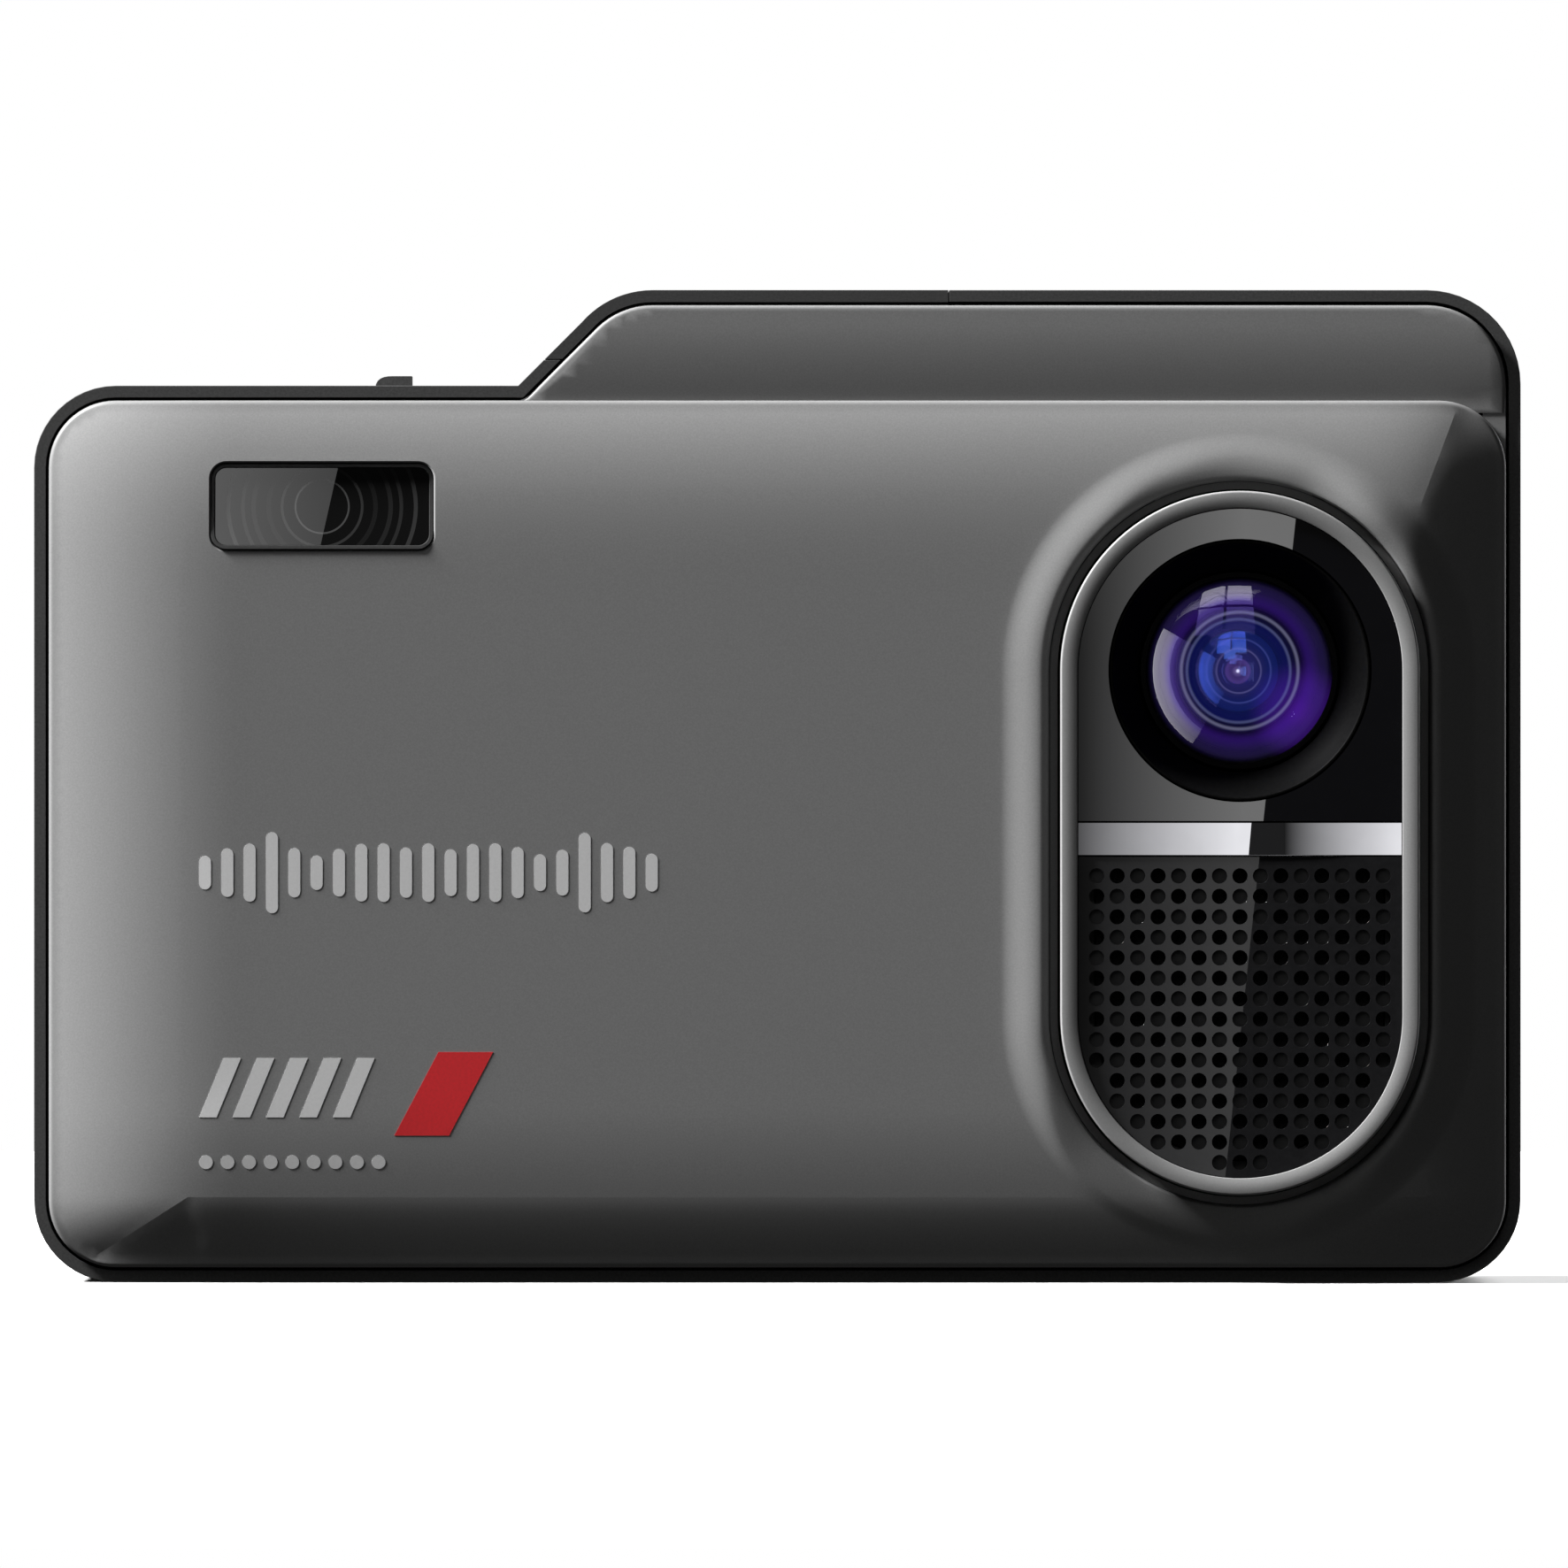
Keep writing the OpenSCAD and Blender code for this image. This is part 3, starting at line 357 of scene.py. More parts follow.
MATERIALS = {
    "cover_paint": speckled("cover_paint", grey(0.25), grey(0.29), 9.0, 0.5, 0.001),
    "ring_paint": speckled("ring_paint", grey(0.38), grey(0.42), 9.0, 0.4, 0.001),
    "frame_plastic": speckled("frame_plastic", grey(0.06), grey(0.09), 6.0, 0.5, 0.002, specular=0.25),
    "dock_plastic": speckled("dock_plastic", grey(0.04), grey(0.06), 6.0, 0.4, 0.002),
    "key_plastic": speckled("key_plastic", grey(0.12), grey(0.15), 6.0, 0.45, 0.002),
    "gloss_black": glossy_plastic("gloss_black", (0.006, 0.006, 0.008), 0.0, coat=1.0),
    "chrome_trim": polished("chrome_trim", (0.42, 0.42, 0.44), 0.0),
    "grille_plastic": faced_plastic("grille_plastic", (0.028, 0.028, 0.03), Y_PANEL),
    "grille_cloth": speckled("grille_cloth", grey(0.004), grey(0.02), 4.0, 0.9, 0.05),
    "lens_black": speckled("lens_black", grey(0.003), grey(0.005), 5.0, 0.5, 0.001, specular=0.03),
    # The glass materials add the painted light of the tables above
    "coated_glass": coated_glass(
        "coated_glass", 4.05,
        [(0.0, (0.1, 0.3, 1.0, 1)), (0.6, (0.05, 0.15, 1.0, 1)), (1.0, (0.2, 0.1, 0.9, 1))],
        [(0.0, 0.1), (1.0, 0.2)], -7.9, INNER_PAINTED_GLOW),
    "front_glass": coated_glass(
        "front_glass", 6.1,
        [(0.0, (0.3, 0.4, 1.0, 1)), (0.7, (0.3, 0.2, 1.0, 1)), (0.85, (0.85, 0.8, 1.0, 1)),
         (1.0, (1, 1, 1, 1))],
        [(0.0, 0.02), (0.5, 0.02), (0.75, 0.06), (1.0, 0.11)], -11.2, OUTER_PAINTED_GLOW, VIOLET_PAINTED_FLARE),
    "rear_glass": coated_glass(
        "rear_glass", 2.65,
        [(0.0, (0.1, 0.3, 1.0, 1)), (1.0, (0.4, 0.1, 1.0, 1))], [(0.0, 0.1), (1.0, 0.15)], -4.4, REAR_PAINTED_GLOW),
    "filter_glass": glossy_plastic("filter_glass", (0.1, 0.3, 0.26)),
    # Painted highlights: the lens rings behind the window, painted into its colour
    "smoked_window": painted_ring_plastic(
        "smoked_window", (WINDOW_X, WINDOW_Z), grey(0.006), grey(0.08), WINDOW_PAINTED_RINGS),
    "window_lens": glossy_plastic("window_lens", (0.05, 0.05, 0.055), 0.25),
    "rubber": speckled("rubber", grey(0.01), grey(0.018), 5.0, 0.7, 0.01),
    "circuit_board": speckled(
        "circuit_board", (0.01, 0.08, 0.03, 1), (0.02, 0.13, 0.05, 1), 1.5, 0.35, 0.01),
    "ceramic_board": speckled(
        "ceramic_board", (0.5, 0.46, 0.34, 1), (0.62, 0.57, 0.43, 1), 3.0, 0.6, 0.004),
    "chip_epoxy": speckled("chip_epoxy", grey(0.012), grey(0.022), 8.0, 0.5, 0.006),
    "sensor_chip": glossy_plastic("sensor_chip", (0.05, 0.09, 0.08), 0.05),
    "steel": brushed("steel", (0.6, 0.6, 0.61), 0, 0.25),
    "black_steel": speckled("black_steel", grey(0.02), grey(0.04), 6.0, 0.3, 0.004, metallic=0.8),
    "heatsink_aluminium": speckled(
        "heatsink_aluminium", grey(0.5), grey(0.6), 8.0, 0.45, 0.01, metallic=1.0),
    "horn_metal": speckled("horn_metal", grey(0.55), grey(0.65), 5.0, 0.4, 0.01, metallic=1.0),
    "gold": brushed("gold", (0.9, 0.62, 0.22), 1, 0.18),
    "copper_wire": brushed("copper_wire", (0.7, 0.33, 0.18), 1, 0.25),
    "magnet_nickel": brushed("magnet_nickel", (0.62, 0.6, 0.57), 1, 0.15),
    "cone_paper": speckled("cone_paper", grey(0.02), grey(0.04), 5.0, 0.8, 0.02),
    "ribbon_film": speckled("ribbon_film", (0.4, 0.18, 0.04, 1), (0.5, 0.25, 0.07, 1), 2.0, 0.3, 0.002),
    "cell_sleeve": speckled("cell_sleeve", (0.02, 0.03, 0.1, 1), (0.03, 0.05, 0.14, 1), 4.0, 0.35, 0.004),
    "patch_ceramic": speckled(
        "patch_ceramic", (0.45, 0.37, 0.25, 1), (0.55, 0.47, 0.33, 1), 4.0, 0.7, 0.006),
    "socket_steel": brushed("socket_steel", (0.58, 0.58, 0.6), 0, 0.22),
    "card_plastic": speckled("card_plastic", grey(0.012), grey(0.02), 6.0, 0.4, 0.003),
    "switch_plastic": speckled("switch_plastic", grey(0.5), grey(0.58), 4.0, 0.5, 0.004),
    "screen_glass": glossy_plastic("screen_glass", (0.004, 0.004, 0.006), 0.03, coat=1.0),
    "panel_metal": brushed("panel_metal", (0.35, 0.36, 0.38), 0, 0.3),
    "light_pipe": glossy_plastic("light_pipe", (0.3, 0.6, 0.32), 0.2),
    # Painted shade: dark paint on side walls that stands in for the shade in gaps, grooves and steps
    "painted_shade": speckled("painted_shade", grey(0.02), grey(0.03), 9.0, 0.6, 0.001),
    "print_grey": speckled("print_grey", grey(0.92), grey(0.97), 5.0, 0.5, 0.002),
    "print_red": speckled("print_red", (0.9, 0.008, 0.016, 1), (1.0, 0.01, 0.02, 1), 5.0, 0.5, 0.002),
}


# ---------- outlines ----------

def arc(centre, radius, start, end, steps):
    """Points on an arc; the angles are in degrees, and both ends are included."""
    angles = np.radians(np.linspace(start, end, steps + 1))
    return np.column_stack([centre[0] + radius * np.cos(angles), centre[1] + radius * np.sin(angles)])


def body_outline(inset, steps=16):
    """The body's outline in x and z, anticlockwise; the same index is the same place at every inset."""
    slope_c = LOW_H - SLOPE_FOOT_X
    tall_z = BODY_H - TALL_R
    bend_x = tall_z - slope_c + TALL_R * math.sqrt(2)
    foot = (SLOPE_FOOT_X - FOOT_FILLET * (math.sqrt(2) - 1), LOW_H + FOOT_FILLET)
    r, q = CORNER_R - inset, TALL_R - inset
    return np.vstack([
        arc((CORNER_R - HALF_W, CORNER_R), r, 180, 270, steps),
        arc((HALF_W - CORNER_R, CORNER_R), r, 270, 360, steps),
        arc((HALF_W - TALL_R, tall_z), q, 0, 90, steps),
        arc((bend_x, tall_z), q, 90, 135, steps // 2),
        arc(foot, FOOT_FILLET + inset, -45, -90, 4),
        arc((CORNER_R - HALF_W, LOW_H - CORNER_R), r, 90, 180, steps),
    ])


def rounded_rect(centre, size, radius, steps=10):
    """A rounded rectangle in x and z, anticlockwise."""
    w, h = size[0] / 2 - radius, size[1] / 2 - radius
    x, z = centre
    return np.vstack([
        arc((x + w, z + h), radius, 0, 90, steps),
        arc((x - w, z + h), radius, 90, 180, steps),
        arc((x - w, z - h), radius, 180, 270, steps),
        arc((x + w, z - h), radius, 270, 360, steps),
    ])


def split_long(loop, step):
    """Adds points so that no side of a closed loop is longer than step."""
    out = []
    for a, b in zip(loop, np.roll(loop, -1, axis=0)):
        count = max(1, math.ceil(np.linalg.norm(b - a) / step))
        out += [a + (b - a) * i / count for i in range(count)]
    return np.array(out)


def split_open(line, step):
    """Adds points so that no piece of an open line is longer than step."""
    out = [line[0]]
    for a, b in zip(line[:-1], line[1:]):
        count = max(1, math.ceil(np.linalg.norm(b - a) / step))
        out += [a + (b - a) * i / count for i in range(1, count + 1)]
    return np.array(out)


def runs(flags):
    """Lists of neighbouring indices for which the flag is set."""
    found, current = [], []
    for i, flag in enumerate(flags):
        if flag:
            current.append(i)
        elif current:
            found.append(current)
            current = []
    return found + ([current] if current else [])


def inside(points, loop):
    """True for each point that lies inside the closed loop."""
    x, z = points[:, 0], points[:, 1]
    result = np.zeros(len(points), bool)
    for (x0, z0), (x1, z1) in zip(loop, np.roll(loop, -1, axis=0)):
        if z0 != z1:
            crosses = ((z0 > z) != (z1 > z)) & (x < (x1 - x0) * (z - z0) / (z1 - z0) + x0)
            result ^= crosses
    return result


def closed(loop):
    """The loop with its first point again at its end."""
    return np.vstack([loop, loop[:1]])

def line_distance(points, line):
    """Distance from each point to an open line, and the nearest point on it."""
    best = np.full(len(points), 1e9)
    nearest = np.zeros_like(points)
    for a, b in zip(line[:-1], line[1:]):
        d = b - a
        t = np.clip(((points - a) @ d) / (d @ d), 0, 1)
        spot = a + t[:, None] * d
        gap = np.linalg.norm(points - spot, axis=1)
        closer = gap < best
        best[closer] = gap[closer]
        nearest[closer] = spot[closer]
    return best, nearest


# ---------- mesh building ----------

class Shell:
    """Gathers rings and plates in millimetres; corners that fall together are merged at the end."""

    def __init__(self):
        self.points, self.faces = [], []

    def ring(self, loop, y):
        """Adds a loop of x and z at depth y (one value or one for each point) and returns its indices."""
        first = len(self.points)
        depths = np.broadcast_to(y, len(loop))
        self.points += [(x, d, z) for (x, z), d in zip(loop, depths)]
        return list(range(first, len(self.points)))

    def bridge(self, a, b):
        """Joins two rings with quads; the faces look out if b lies behind a on an anticlockwise loop."""
        for i in range(len(a)):
            j = (i + 1) % len(a)
            self.faces.append((a[i], a[j], b[j], b[i]))

    def loft(self, loops, depths):
        """Joins a row of loops and returns the first and the last ring."""
        rings = [self.ring(loop, y) for loop, y in zip(loops, depths)]
        for a, b in zip(rings[:-1], rings[1:]):
            self.bridge(a, b)
        return rings[0], rings[-1]

    def plate(self, outer, holes, height, facing_front=True, inner=(), lines=()):
        """Fills an outline less its holes at depth height(points); inner and lines add mesh points."""
        loops = [outer, *holes]
        points, edges = [], []
        for loop in loops:
            first = len(points)
            points += [tuple(p) for p in loop]
            edges += [(first + i, first + (i + 1) % len(loop)) for i in range(len(loop))]
        for line in lines:
            first = len(points)
            points += [tuple(p) for p in line]
            edges += [(first + i, first + i + 1) for i in range(len(line) - 1)]
        points += [tuple(p) for p in inner]
        made = delaunay_2d_cdt([Vector(p) for p in points], edges, [], 1, 1e-5)
        flat = np.array([tuple(v) for v in made[0]])
        triangles = np.array(made[2])
        centres = flat[triangles].mean(axis=1)
        keep = inside(centres, outer)
        for hole in holes:
            keep &= ~inside(centres, hole)
        first = len(self.points)
        depths = height(flat) if callable(height) else np.full(len(flat), height)
        self.points += [(x, d, z) for (x, z), d in zip(flat, depths)]
        for a, b, c in triangles[keep] + first:
            corners = [np.array(self.points[i]) for i in (a, b, c)]
            turn = np.cross(corners[1] - corners[0], corners[2] - corners[0])[1]
            self.faces.append((a, b, c) if (turn < 0) == facing_front else (a, c, b))

    def make(self, name, slot, material=None, smooth=40, body="case", replaces=()):
        """Makes the Blender object, riding on a body."""
        mesh = bpy.data.meshes.new(name)
        mesh.from_pydata([Vector(p) * MM for p in self.points], [], self.faces)
        work = bmesh.new()
        work.from_mesh(mesh)
        bmesh.ops.remove_doubles(work, verts=work.verts, dist=2e-7)
        bmesh.ops.dissolve_degenerate(work, dist=1e-7, edges=work.edges)
        loose = [v for v in work.verts if not v.link_faces]
        bmesh.ops.delete(work, geom=loose, context="VERTS")
        bmesh.ops.recalc_face_normals(work, faces=work.faces)
        work.to_mesh(mesh)
        work.free()
        for face in mesh.polygons:
            face.use_smooth = True
        mesh.set_sharp_from_angle(angle=math.radians(smooth))
        made = bpy.data.objects.new(name, mesh)
        bpy.context.scene.collection.objects.link(made)
        mesh.materials.append(MATERIALS[material or slot])
        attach(made, body)
        if replaces:
            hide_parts(*replaces)
        return made


def rounding(radius, steps=5):
    """Pairs of inset and depth for an outer edge of this radius, from its front to its side."""
    angles = [math.pi / 2 * i / steps for i in range(steps + 1)]
    return [(radius * (1 - math.sin(a)), radius * (1 - math.cos(a))) for a in angles]


# ---------- front cover ----------

def ease(t):
    """0 to 1, with a flat start and a flat end."""
    return t * t * (3 - 2 * t)


def falloff(distance, width, power):
    """1 at an edge, easing to 0 at this width in from it."""
    return np.maximum(0, 1 - np.maximum(distance, 0) / width) ** power


def soft_drop(points):
    """How far the face falls back towards its left, top, right and bottom edges."""
    x, z = points.T
    from_bottom = np.maximum(z - FACE_LO, 0)
    return (2.0 * falloff(x + FACE_X, SOFT_W, 2.5)
            + 1.2 * falloff(FACE_HI - z, SOFT_W, 3.6)
            + 1.6 * falloff(FACE_X - x, SOFT_W, 3.7)
            + 0.73 * falloff(from_bottom, 10.4, 2)
            + 1.05 * falloff(from_bottom, FOLD_Z - FACE_LO, 2))


def edge_distance(points):
    """How far each point lies in from the face's rounded outline."""
    middle = (FACE_LO + FACE_HI) / 2
    over_x = np.abs(points[:, 0]) - (FACE_X - FACE_R)
    over_z = np.abs(points[:, 1] - middle) - (FACE_HI - middle - FACE_R)
    corner = np.hypot(np.maximum(over_x, 0), np.maximum(over_z, 0))
    return FACE_R - corner - np.minimum(np.maximum(over_x, over_z), 0)


# Fold between the soft face and the flatter bands along its bottom and right edges
FOLD_Z = 5.65
FOLD = np.array([
    (-45.0, 1.7), (-38.8, FOLD_Z), (42.9, FOLD_Z), (43.1, 5.9), (42.36, 7.86), (40.9, 14),
    (40.9, 45), (42.07, 50.49), (44.9, 57.95),
])
BAND = np.vstack([FOLD, [(60, 75), (60, -20), (-50, -20)]])


def band_drop(points):
    """How far the bands have fallen where they reach the outline."""
    x, z = points.T
    bottom = 1.15 + 1.3 * np.exp((-45 - x) / 7)
    right = 2.2 - 0.55 * np.exp((z - FACE_HI) / 5)
    return bottom + (right - bottom) * ease(np.clip((x - 34) / 12, 0, 1))


def face_depth(points):
    """Depth of the face at each point."""
    drop = soft_drop(points)
    banded = inside(points, BAND)
    if banded.any():
        gap, nearest = line_distance(points[banded], FOLD)
        start = soft_drop(nearest)
        rim = np.maximum(edge_distance(points[banded]), 0)
        share = gap / np.maximum(gap + rim, 1e-6)
        drop[banded] = start + (band_drop(points[banded]) - start) * share ** 1.3
    return Y_FACE + drop


# The collar by angle round the stadium: its crest's radius, and how far it stands over the face
CREST = np.array([
    (-180, 13.15, 0.38), (-166, 13.3, 0.36), (-135, 14.6, 0.12), (-90, 14.5, 0.03), (-60, 13.7, 0.2),
    (-40, 13.3, 0.6), (-20, 13.25, 0.95), (0, 13.25, 1.0), (45, 13.4, 0.65), (72, 13.8, 0.16),
    (90, 14.0, 0.12), (110, 13.7, 0.2), (135, 13.2, 0.35), (180, 13.15, 0.38),
])
COLLAR_R = 15.7
BEAD_R = 12.7
GROOVE_R = 12.45
GROOVE_Y = -10.6
HOLE_R = RING_R + 0.15


def stadium_frame(steps=48, rows=16):
    """Base points, directions and angles round the stadium, anticlockwise from the right of the speaker."""
    parts = []
    for z in np.linspace(SPEAKER_Z, LENS_Z, rows + 1)[:-1]:
        parts.append((z, 0.0))
    for angle in np.linspace(0, 180, steps + 1)[:-1]:
        parts.append((LENS_Z, angle))
    for z in np.linspace(LENS_Z, SPEAKER_Z, rows + 1)[:-1]:
        parts.append((z, 180.0))
    for angle in np.linspace(-180, 0, steps + 1)[:-1]:
        parts.append((SPEAKER_Z, angle))
    z, angle = np.array(parts).T
    base = np.column_stack([np.full(len(z), CAM_X), z])
    direction = np.column_stack([np.cos(np.radians(angle)), np.sin(np.radians(angle))])
    return base, direction, angle


def stadium(radius, steps=48, rows=16):
    """The stadium at one radius, or at a radius for each point."""
    base, direction, _ = stadium_frame(steps, rows)
    return base + direction * np.broadcast_to(radius, len(base))[:, None]


def smooth_table(angle, column):
    """The collar's table at each angle, with eased steps between its rows."""
    rows = np.searchsorted(CREST[:, 0], angle, side="right").clip(1, len(CREST) - 1)
    a, b = CREST[rows - 1], CREST[rows]
    t = (angle - a[:, 0]) / (b[:, 0] - a[:, 0])
    return a[:, column] + (b[:, column] - a[:, column]) * ease(t)


def collar_rings(shell):
    """Rings from the face over the collar and down into the groove round the camera ring."""
    base, direction, angle = stadium_frame()
    crest_r = smooth_table(angle, 1)
    rise = smooth_table(angle, 2)

    def ring_over_face(radius, lift):
        spots = base + direction * radius[:, None]
        return shell.ring(spots, face_depth(spots) - lift)

    rings = []
    for t in np.linspace(0, 1, 17):
        rings.append(ring_over_face(COLLAR_R + (crest_r - COLLAR_R) * t, rise * ease(t)))
    for t in np.linspace(0, 1, 7)[1:]:
        rings.append(ring_over_face(crest_r + (BEAD_R - crest_r) * t, rise - 0.12 * t * t))
    bead_y = face_depth(stadium(BEAD_R)) - rise + 0.12
    for t in np.linspace(0, 1, 7)[1:]:
        radius = BEAD_R + (GROOVE_R - BEAD_R) * math.sin(t * math.pi / 2)
        rings.append(shell.ring(stadium(radius), bead_y + (GROOVE_Y - bead_y) * t * t))
    rings.append(shell.ring(stadium(HOLE_R), GROOVE_Y + 0.05))
    for a, b in zip(rings[:-1], rings[1:]):
        shell.bridge(b, a)
    return rings[0], rings[-1], stadium(COLLAR_R)


def make_front_cover():
    """The soft face with its collar, with the shelf above it and the skirt behind."""
    shell = Shell()
    edge_r = 0.35
    face_size = (2 * FACE_X, FACE_HI - FACE_LO)
    outer = split_long(rounded_rect((0, (FACE_LO + FACE_HI) / 2), face_size, FACE_R, 16), 1.0)
    # The inner loop keeps the outer loop's points, moved in square to the edge
    centre_x = np.clip(outer[:, 0], FACE_R - FACE_X, FACE_X - FACE_R)
    centre_z = np.clip(outer[:, 1], FACE_LO + FACE_R, FACE_HI - FACE_R)
    towards = np.column_stack([centre_x, centre_z]) - outer
    towards /= np.linalg.norm(towards, axis=1)[:, None]
    inner = outer + towards * edge_r
    _, hole_ring, collar_loop = collar_rings(shell)
    window = split_long(rounded_rect((WINDOW_X, WINDOW_Z), (WINDOW_W + 0.2, WINDOW_H + 0.2), 1.15, 8), 0.6)
    window_wall = split_long(rounded_rect((WINDOW_X, WINDOW_Z), (WINDOW_W, WINDOW_H), 1.05, 8), 0.6)

    spacing = 0.55
    columns = np.arange(-FACE_X, FACE_X, spacing)
    rows = np.arange(FACE_LO, FACE_HI, spacing * 0.866)
    grid = np.array([(x + spacing / 2 * (i % 2), z) for i, z in enumerate(rows) for x in columns])
    grid = grid[inside(grid, inner)]
    borders = [closed(inner), closed(collar_loop), closed(window), FOLD]
    clearance = np.min([line_distance(grid, line)[0] for line in borders], axis=0)
    grid = grid[(clearance > spacing * 0.45) & ~inside(grid, collar_loop) & ~inside(grid, window)]
    fold = split_open(FOLD, spacing)
    usable = inside(fold, inner) & ~inside(fold, collar_loop)
    lines = [fold[run] for run in runs(usable) if len(run) > 1]
    shell.plate(inner, [collar_loop, window], face_depth, True, grid, lines)

    inner_y = face_depth(inner)
    loops, depths = [], []
    for inset, fall in rounding(edge_r, 5):
        loops.append(outer + towards * inset)
        depths.append(inner_y + fall)
    loops.append(outer)
    depths.append(np.full(len(outer), Y_FACE_BACK))
    shell.loft(loops, depths)

    edge_y = face_depth(window)
    tops = [shell.ring(window, edge_y), ]
    if len(window_wall) == len(window):
        tops.append(shell.ring(window_wall, edge_y + 0.1))
    else:
        window_wall = window
    tops.append(shell.ring(window_wall, Y_FACE_BACK))
    for a, b in zip(tops[:-1], tops[1:]):
        shell.bridge(b, a)
    hole = stadium(HOLE_R)
    shell.bridge(shell.ring(hole, Y_FACE_BACK), hole_ring)
    shell.plate(outer, [hole, window_wall], Y_FACE_BACK, False)

    make_shelf(shell)
    make_skirt(shell)
    made = shell.make("front_shell", "cover_paint", smooth=30, replaces=["front_cover"])
    # Near-upright walls take painted shade, dark paint standing in for the shade in the gaps and steps
    # round the face
    made.data.materials.append(MATERIALS["painted_shade"])
    for face in made.data.polygons:
        if abs(face.normal.y) < 0.2:
            face.material_index = 1
    flat = np.array([(v.co.x / MM, v.co.z / MM) for v in made.data.vertices])
    on_fold = line_distance(flat, FOLD)[0] < 0.002
    for edge in made.data.edges:
        a, b = edge.vertices
        if on_fold[a] and on_fold[b]:
            edge.use_edge_sharp = True
    return made


def shelf_depth(points):
    """The shelf lies a little deeper towards the foot of the face."""
    return Y_SHELF + 0.34 * np.clip((FACE_HI + 5 - points[:, 1]) / 5, 0, 1) ** 2


def make_shelf(shell):
    """The flat upper part, from the slope to the tall corner."""
    whole = body_outline(INSET)
    foot = FACE_HI - 0.8
    tall = whole[:, 1] > foot
    order = [i for i in range(len(whole)) if tall[i] and whole[i, 0] > SLOPE_FOOT_X + 0.3]

    def loop(inset):
        rim = body_outline(INSET + inset)[order]
        return np.vstack([rim, [(rim[-1][0], foot), (rim[0][0], foot)]])

    steps = rounding(0.25, 4)
    loops = [loop(inset) for inset, _ in steps] + [loop(0)]
    depths = [shelf_depth(loops[0]) + fall for _, fall in steps] + [Y_SHELF_BACK]
    shell.loft(loops, depths)
    low, high = loops[0].min(axis=0), loops[0].max(axis=0)
    grid = np.array([(x, z) for z in np.arange(low[1] + 0.3, high[1], 0.4)
                     for x in np.arange(low[0] + 0.5, high[0], 1.0)])
    grid = grid[inside(grid, loops[0])]
    grid = grid[line_distance(grid, closed(loops[0]))[0] > 0.15]
    shell.plate(loops[0], [], shelf_depth, True, grid)
    shell.plate(loops[-1], [], Y_SHELF_BACK, False)


def make_skirt(shell):
    """The skirt that plugs into the frame."""
    outside = body_outline(INSET)
    within = body_outline(INSET + 1.5)
    front, rear = -8.2, Y_SHELF_BACK
    a, b = shell.ring(outside, front), shell.ring(outside, rear)
    c, d = shell.ring(within, rear), shell.ring(within, front)
    for start, end in ((a, b), (b, c), (c, d), (d, a)):
        shell.bridge(start, end)


# ---------- case ----------

def make_rear_cover():
    """The rear shell, with the screen's pocket, the screws' recesses and the status light's hole."""
    shell = Shell()
    corner = 1.8
    profile = [(0, Y_SPLIT), (0, Y_BACK - corner)] + [
        (corner * (1 - math.cos(a)), Y_BACK - corner * (1 - math.sin(a)))
        for a in np.radians(np.linspace(10, 90, 9))
    ]
    loops = [body_outline(inset) for inset, _ in profile]
    depths = [y for _, y in profile]
    shell.loft(loops, depths)
    glass_low, glass_high = node_box("display_glass")
    centre = ((glass_low.x + glass_high.x) / 2, (glass_low.z + glass_high.z) / 2)
    size = (glass_high.x - glass_low.x, glass_high.z - glass_low.z)
    lip = rounded_rect(centre, (size[0] + 0.6, size[1] + 0.6), 3.15)
    pocket = rounded_rect(centre, (size[0] + 0.3, size[1] + 0.3), 3.0)
    bore = rounded_rect(centre, (size[0] - 5, size[1] - 1.8), 0.5)
    holes_back, holes_front = [lip], [bore]
    shell.loft([bore, bore, pocket, pocket, lip],
               [Y_SPLIT, glass_low.y - 0.15, glass_low.y - 0.15, Y_BACK - 0.15, Y_BACK])
    for x, z in screw_places():
        seat = Y_BACK - 1.6
        mouth, well, shaft = (arc((x, z), r, 0, 360, 32)[:-1] for r in (2.25, 2.1, 1.15))
        shell.loft([shaft, shaft, well, well, mouth], [Y_SPLIT, seat, seat, Y_BACK - 0.15, Y_BACK])
        holes_back.append(mouth)
        holes_front.append(shaft)
    light_low, light_high = node_box("status_light")
    light = arc(((light_low.x + light_high.x) / 2, (light_low.z + light_high.z) / 2), 0.85, 0, 360, 24)[:-1]
    shell.loft([light, light], [Y_SPLIT, Y_BACK])
    shell.plate(loops[-1], holes_back + [light], Y_BACK, False)
    shell.plate(loops[0], holes_front + [light], Y_SPLIT, True)
    return shell.make("rear_shell", "frame_plastic", smooth=32, replaces=["rear_cover"])


def screw_places():
    """Axes of the four case screws, from the box round the separate solids of their node, with one x and
    one height given.
    """
    low, high = node_box("case_screws")
    r = 1.85
    left, right = low.x + r, high.x - r
    return [(left, low.z + r), (right, low.z + r), (left, LOW_H - 4.9), (44.3, high.z - r)]


def make_ring():
    """The camera ring: a rounded outer edge and a band that slopes in towards the window."""
    shell = Shell()
    base, direction, _ = stadium_frame(64, 16)
    inner_r = PANEL_R + 0.05
    edge_r, edge_y = 0.14, Y_RING + 0.05
    profile = [(RING_R, -8.6), (RING_R, edge_y + edge_r)]
    profile += [(RING_R - edge_r * (1 - math.cos(a)), edge_y + edge_r * (1 - math.sin(a)))
                for a in np.radians([20, 40, 60, 80, 90])]
    profile += [(inner_r + 0.06, Y_RING), (inner_r + 0.02, Y_RING + 0.02), (inner_r, Y_RING + 0.06),
                (inner_r, Y_PANEL + 1.6), (inner_r - 1.1, Y_PANEL + 1.62), (inner_r - 1.1, -8.6)]
    loops = [base + direction * r for r, _ in profile]
    front, rear = shell.loft(loops, [y for _, y in profile])
    shell.bridge(rear, front)
    made = shell.make("camera_ring", "ring_paint", smooth=35, replaces=["camera_bezel"])
    # The ring's side walls and hidden back take painted shade, so the groove beside the ring stays dark
    made.data.materials.append(MATERIALS["painted_shade"])
    for face in made.data.polygons:
        if abs(face.normal.y) < 0.1 or face.center.y > (Y_RING + 0.5) * MM:
            face.material_index = 1
    return made


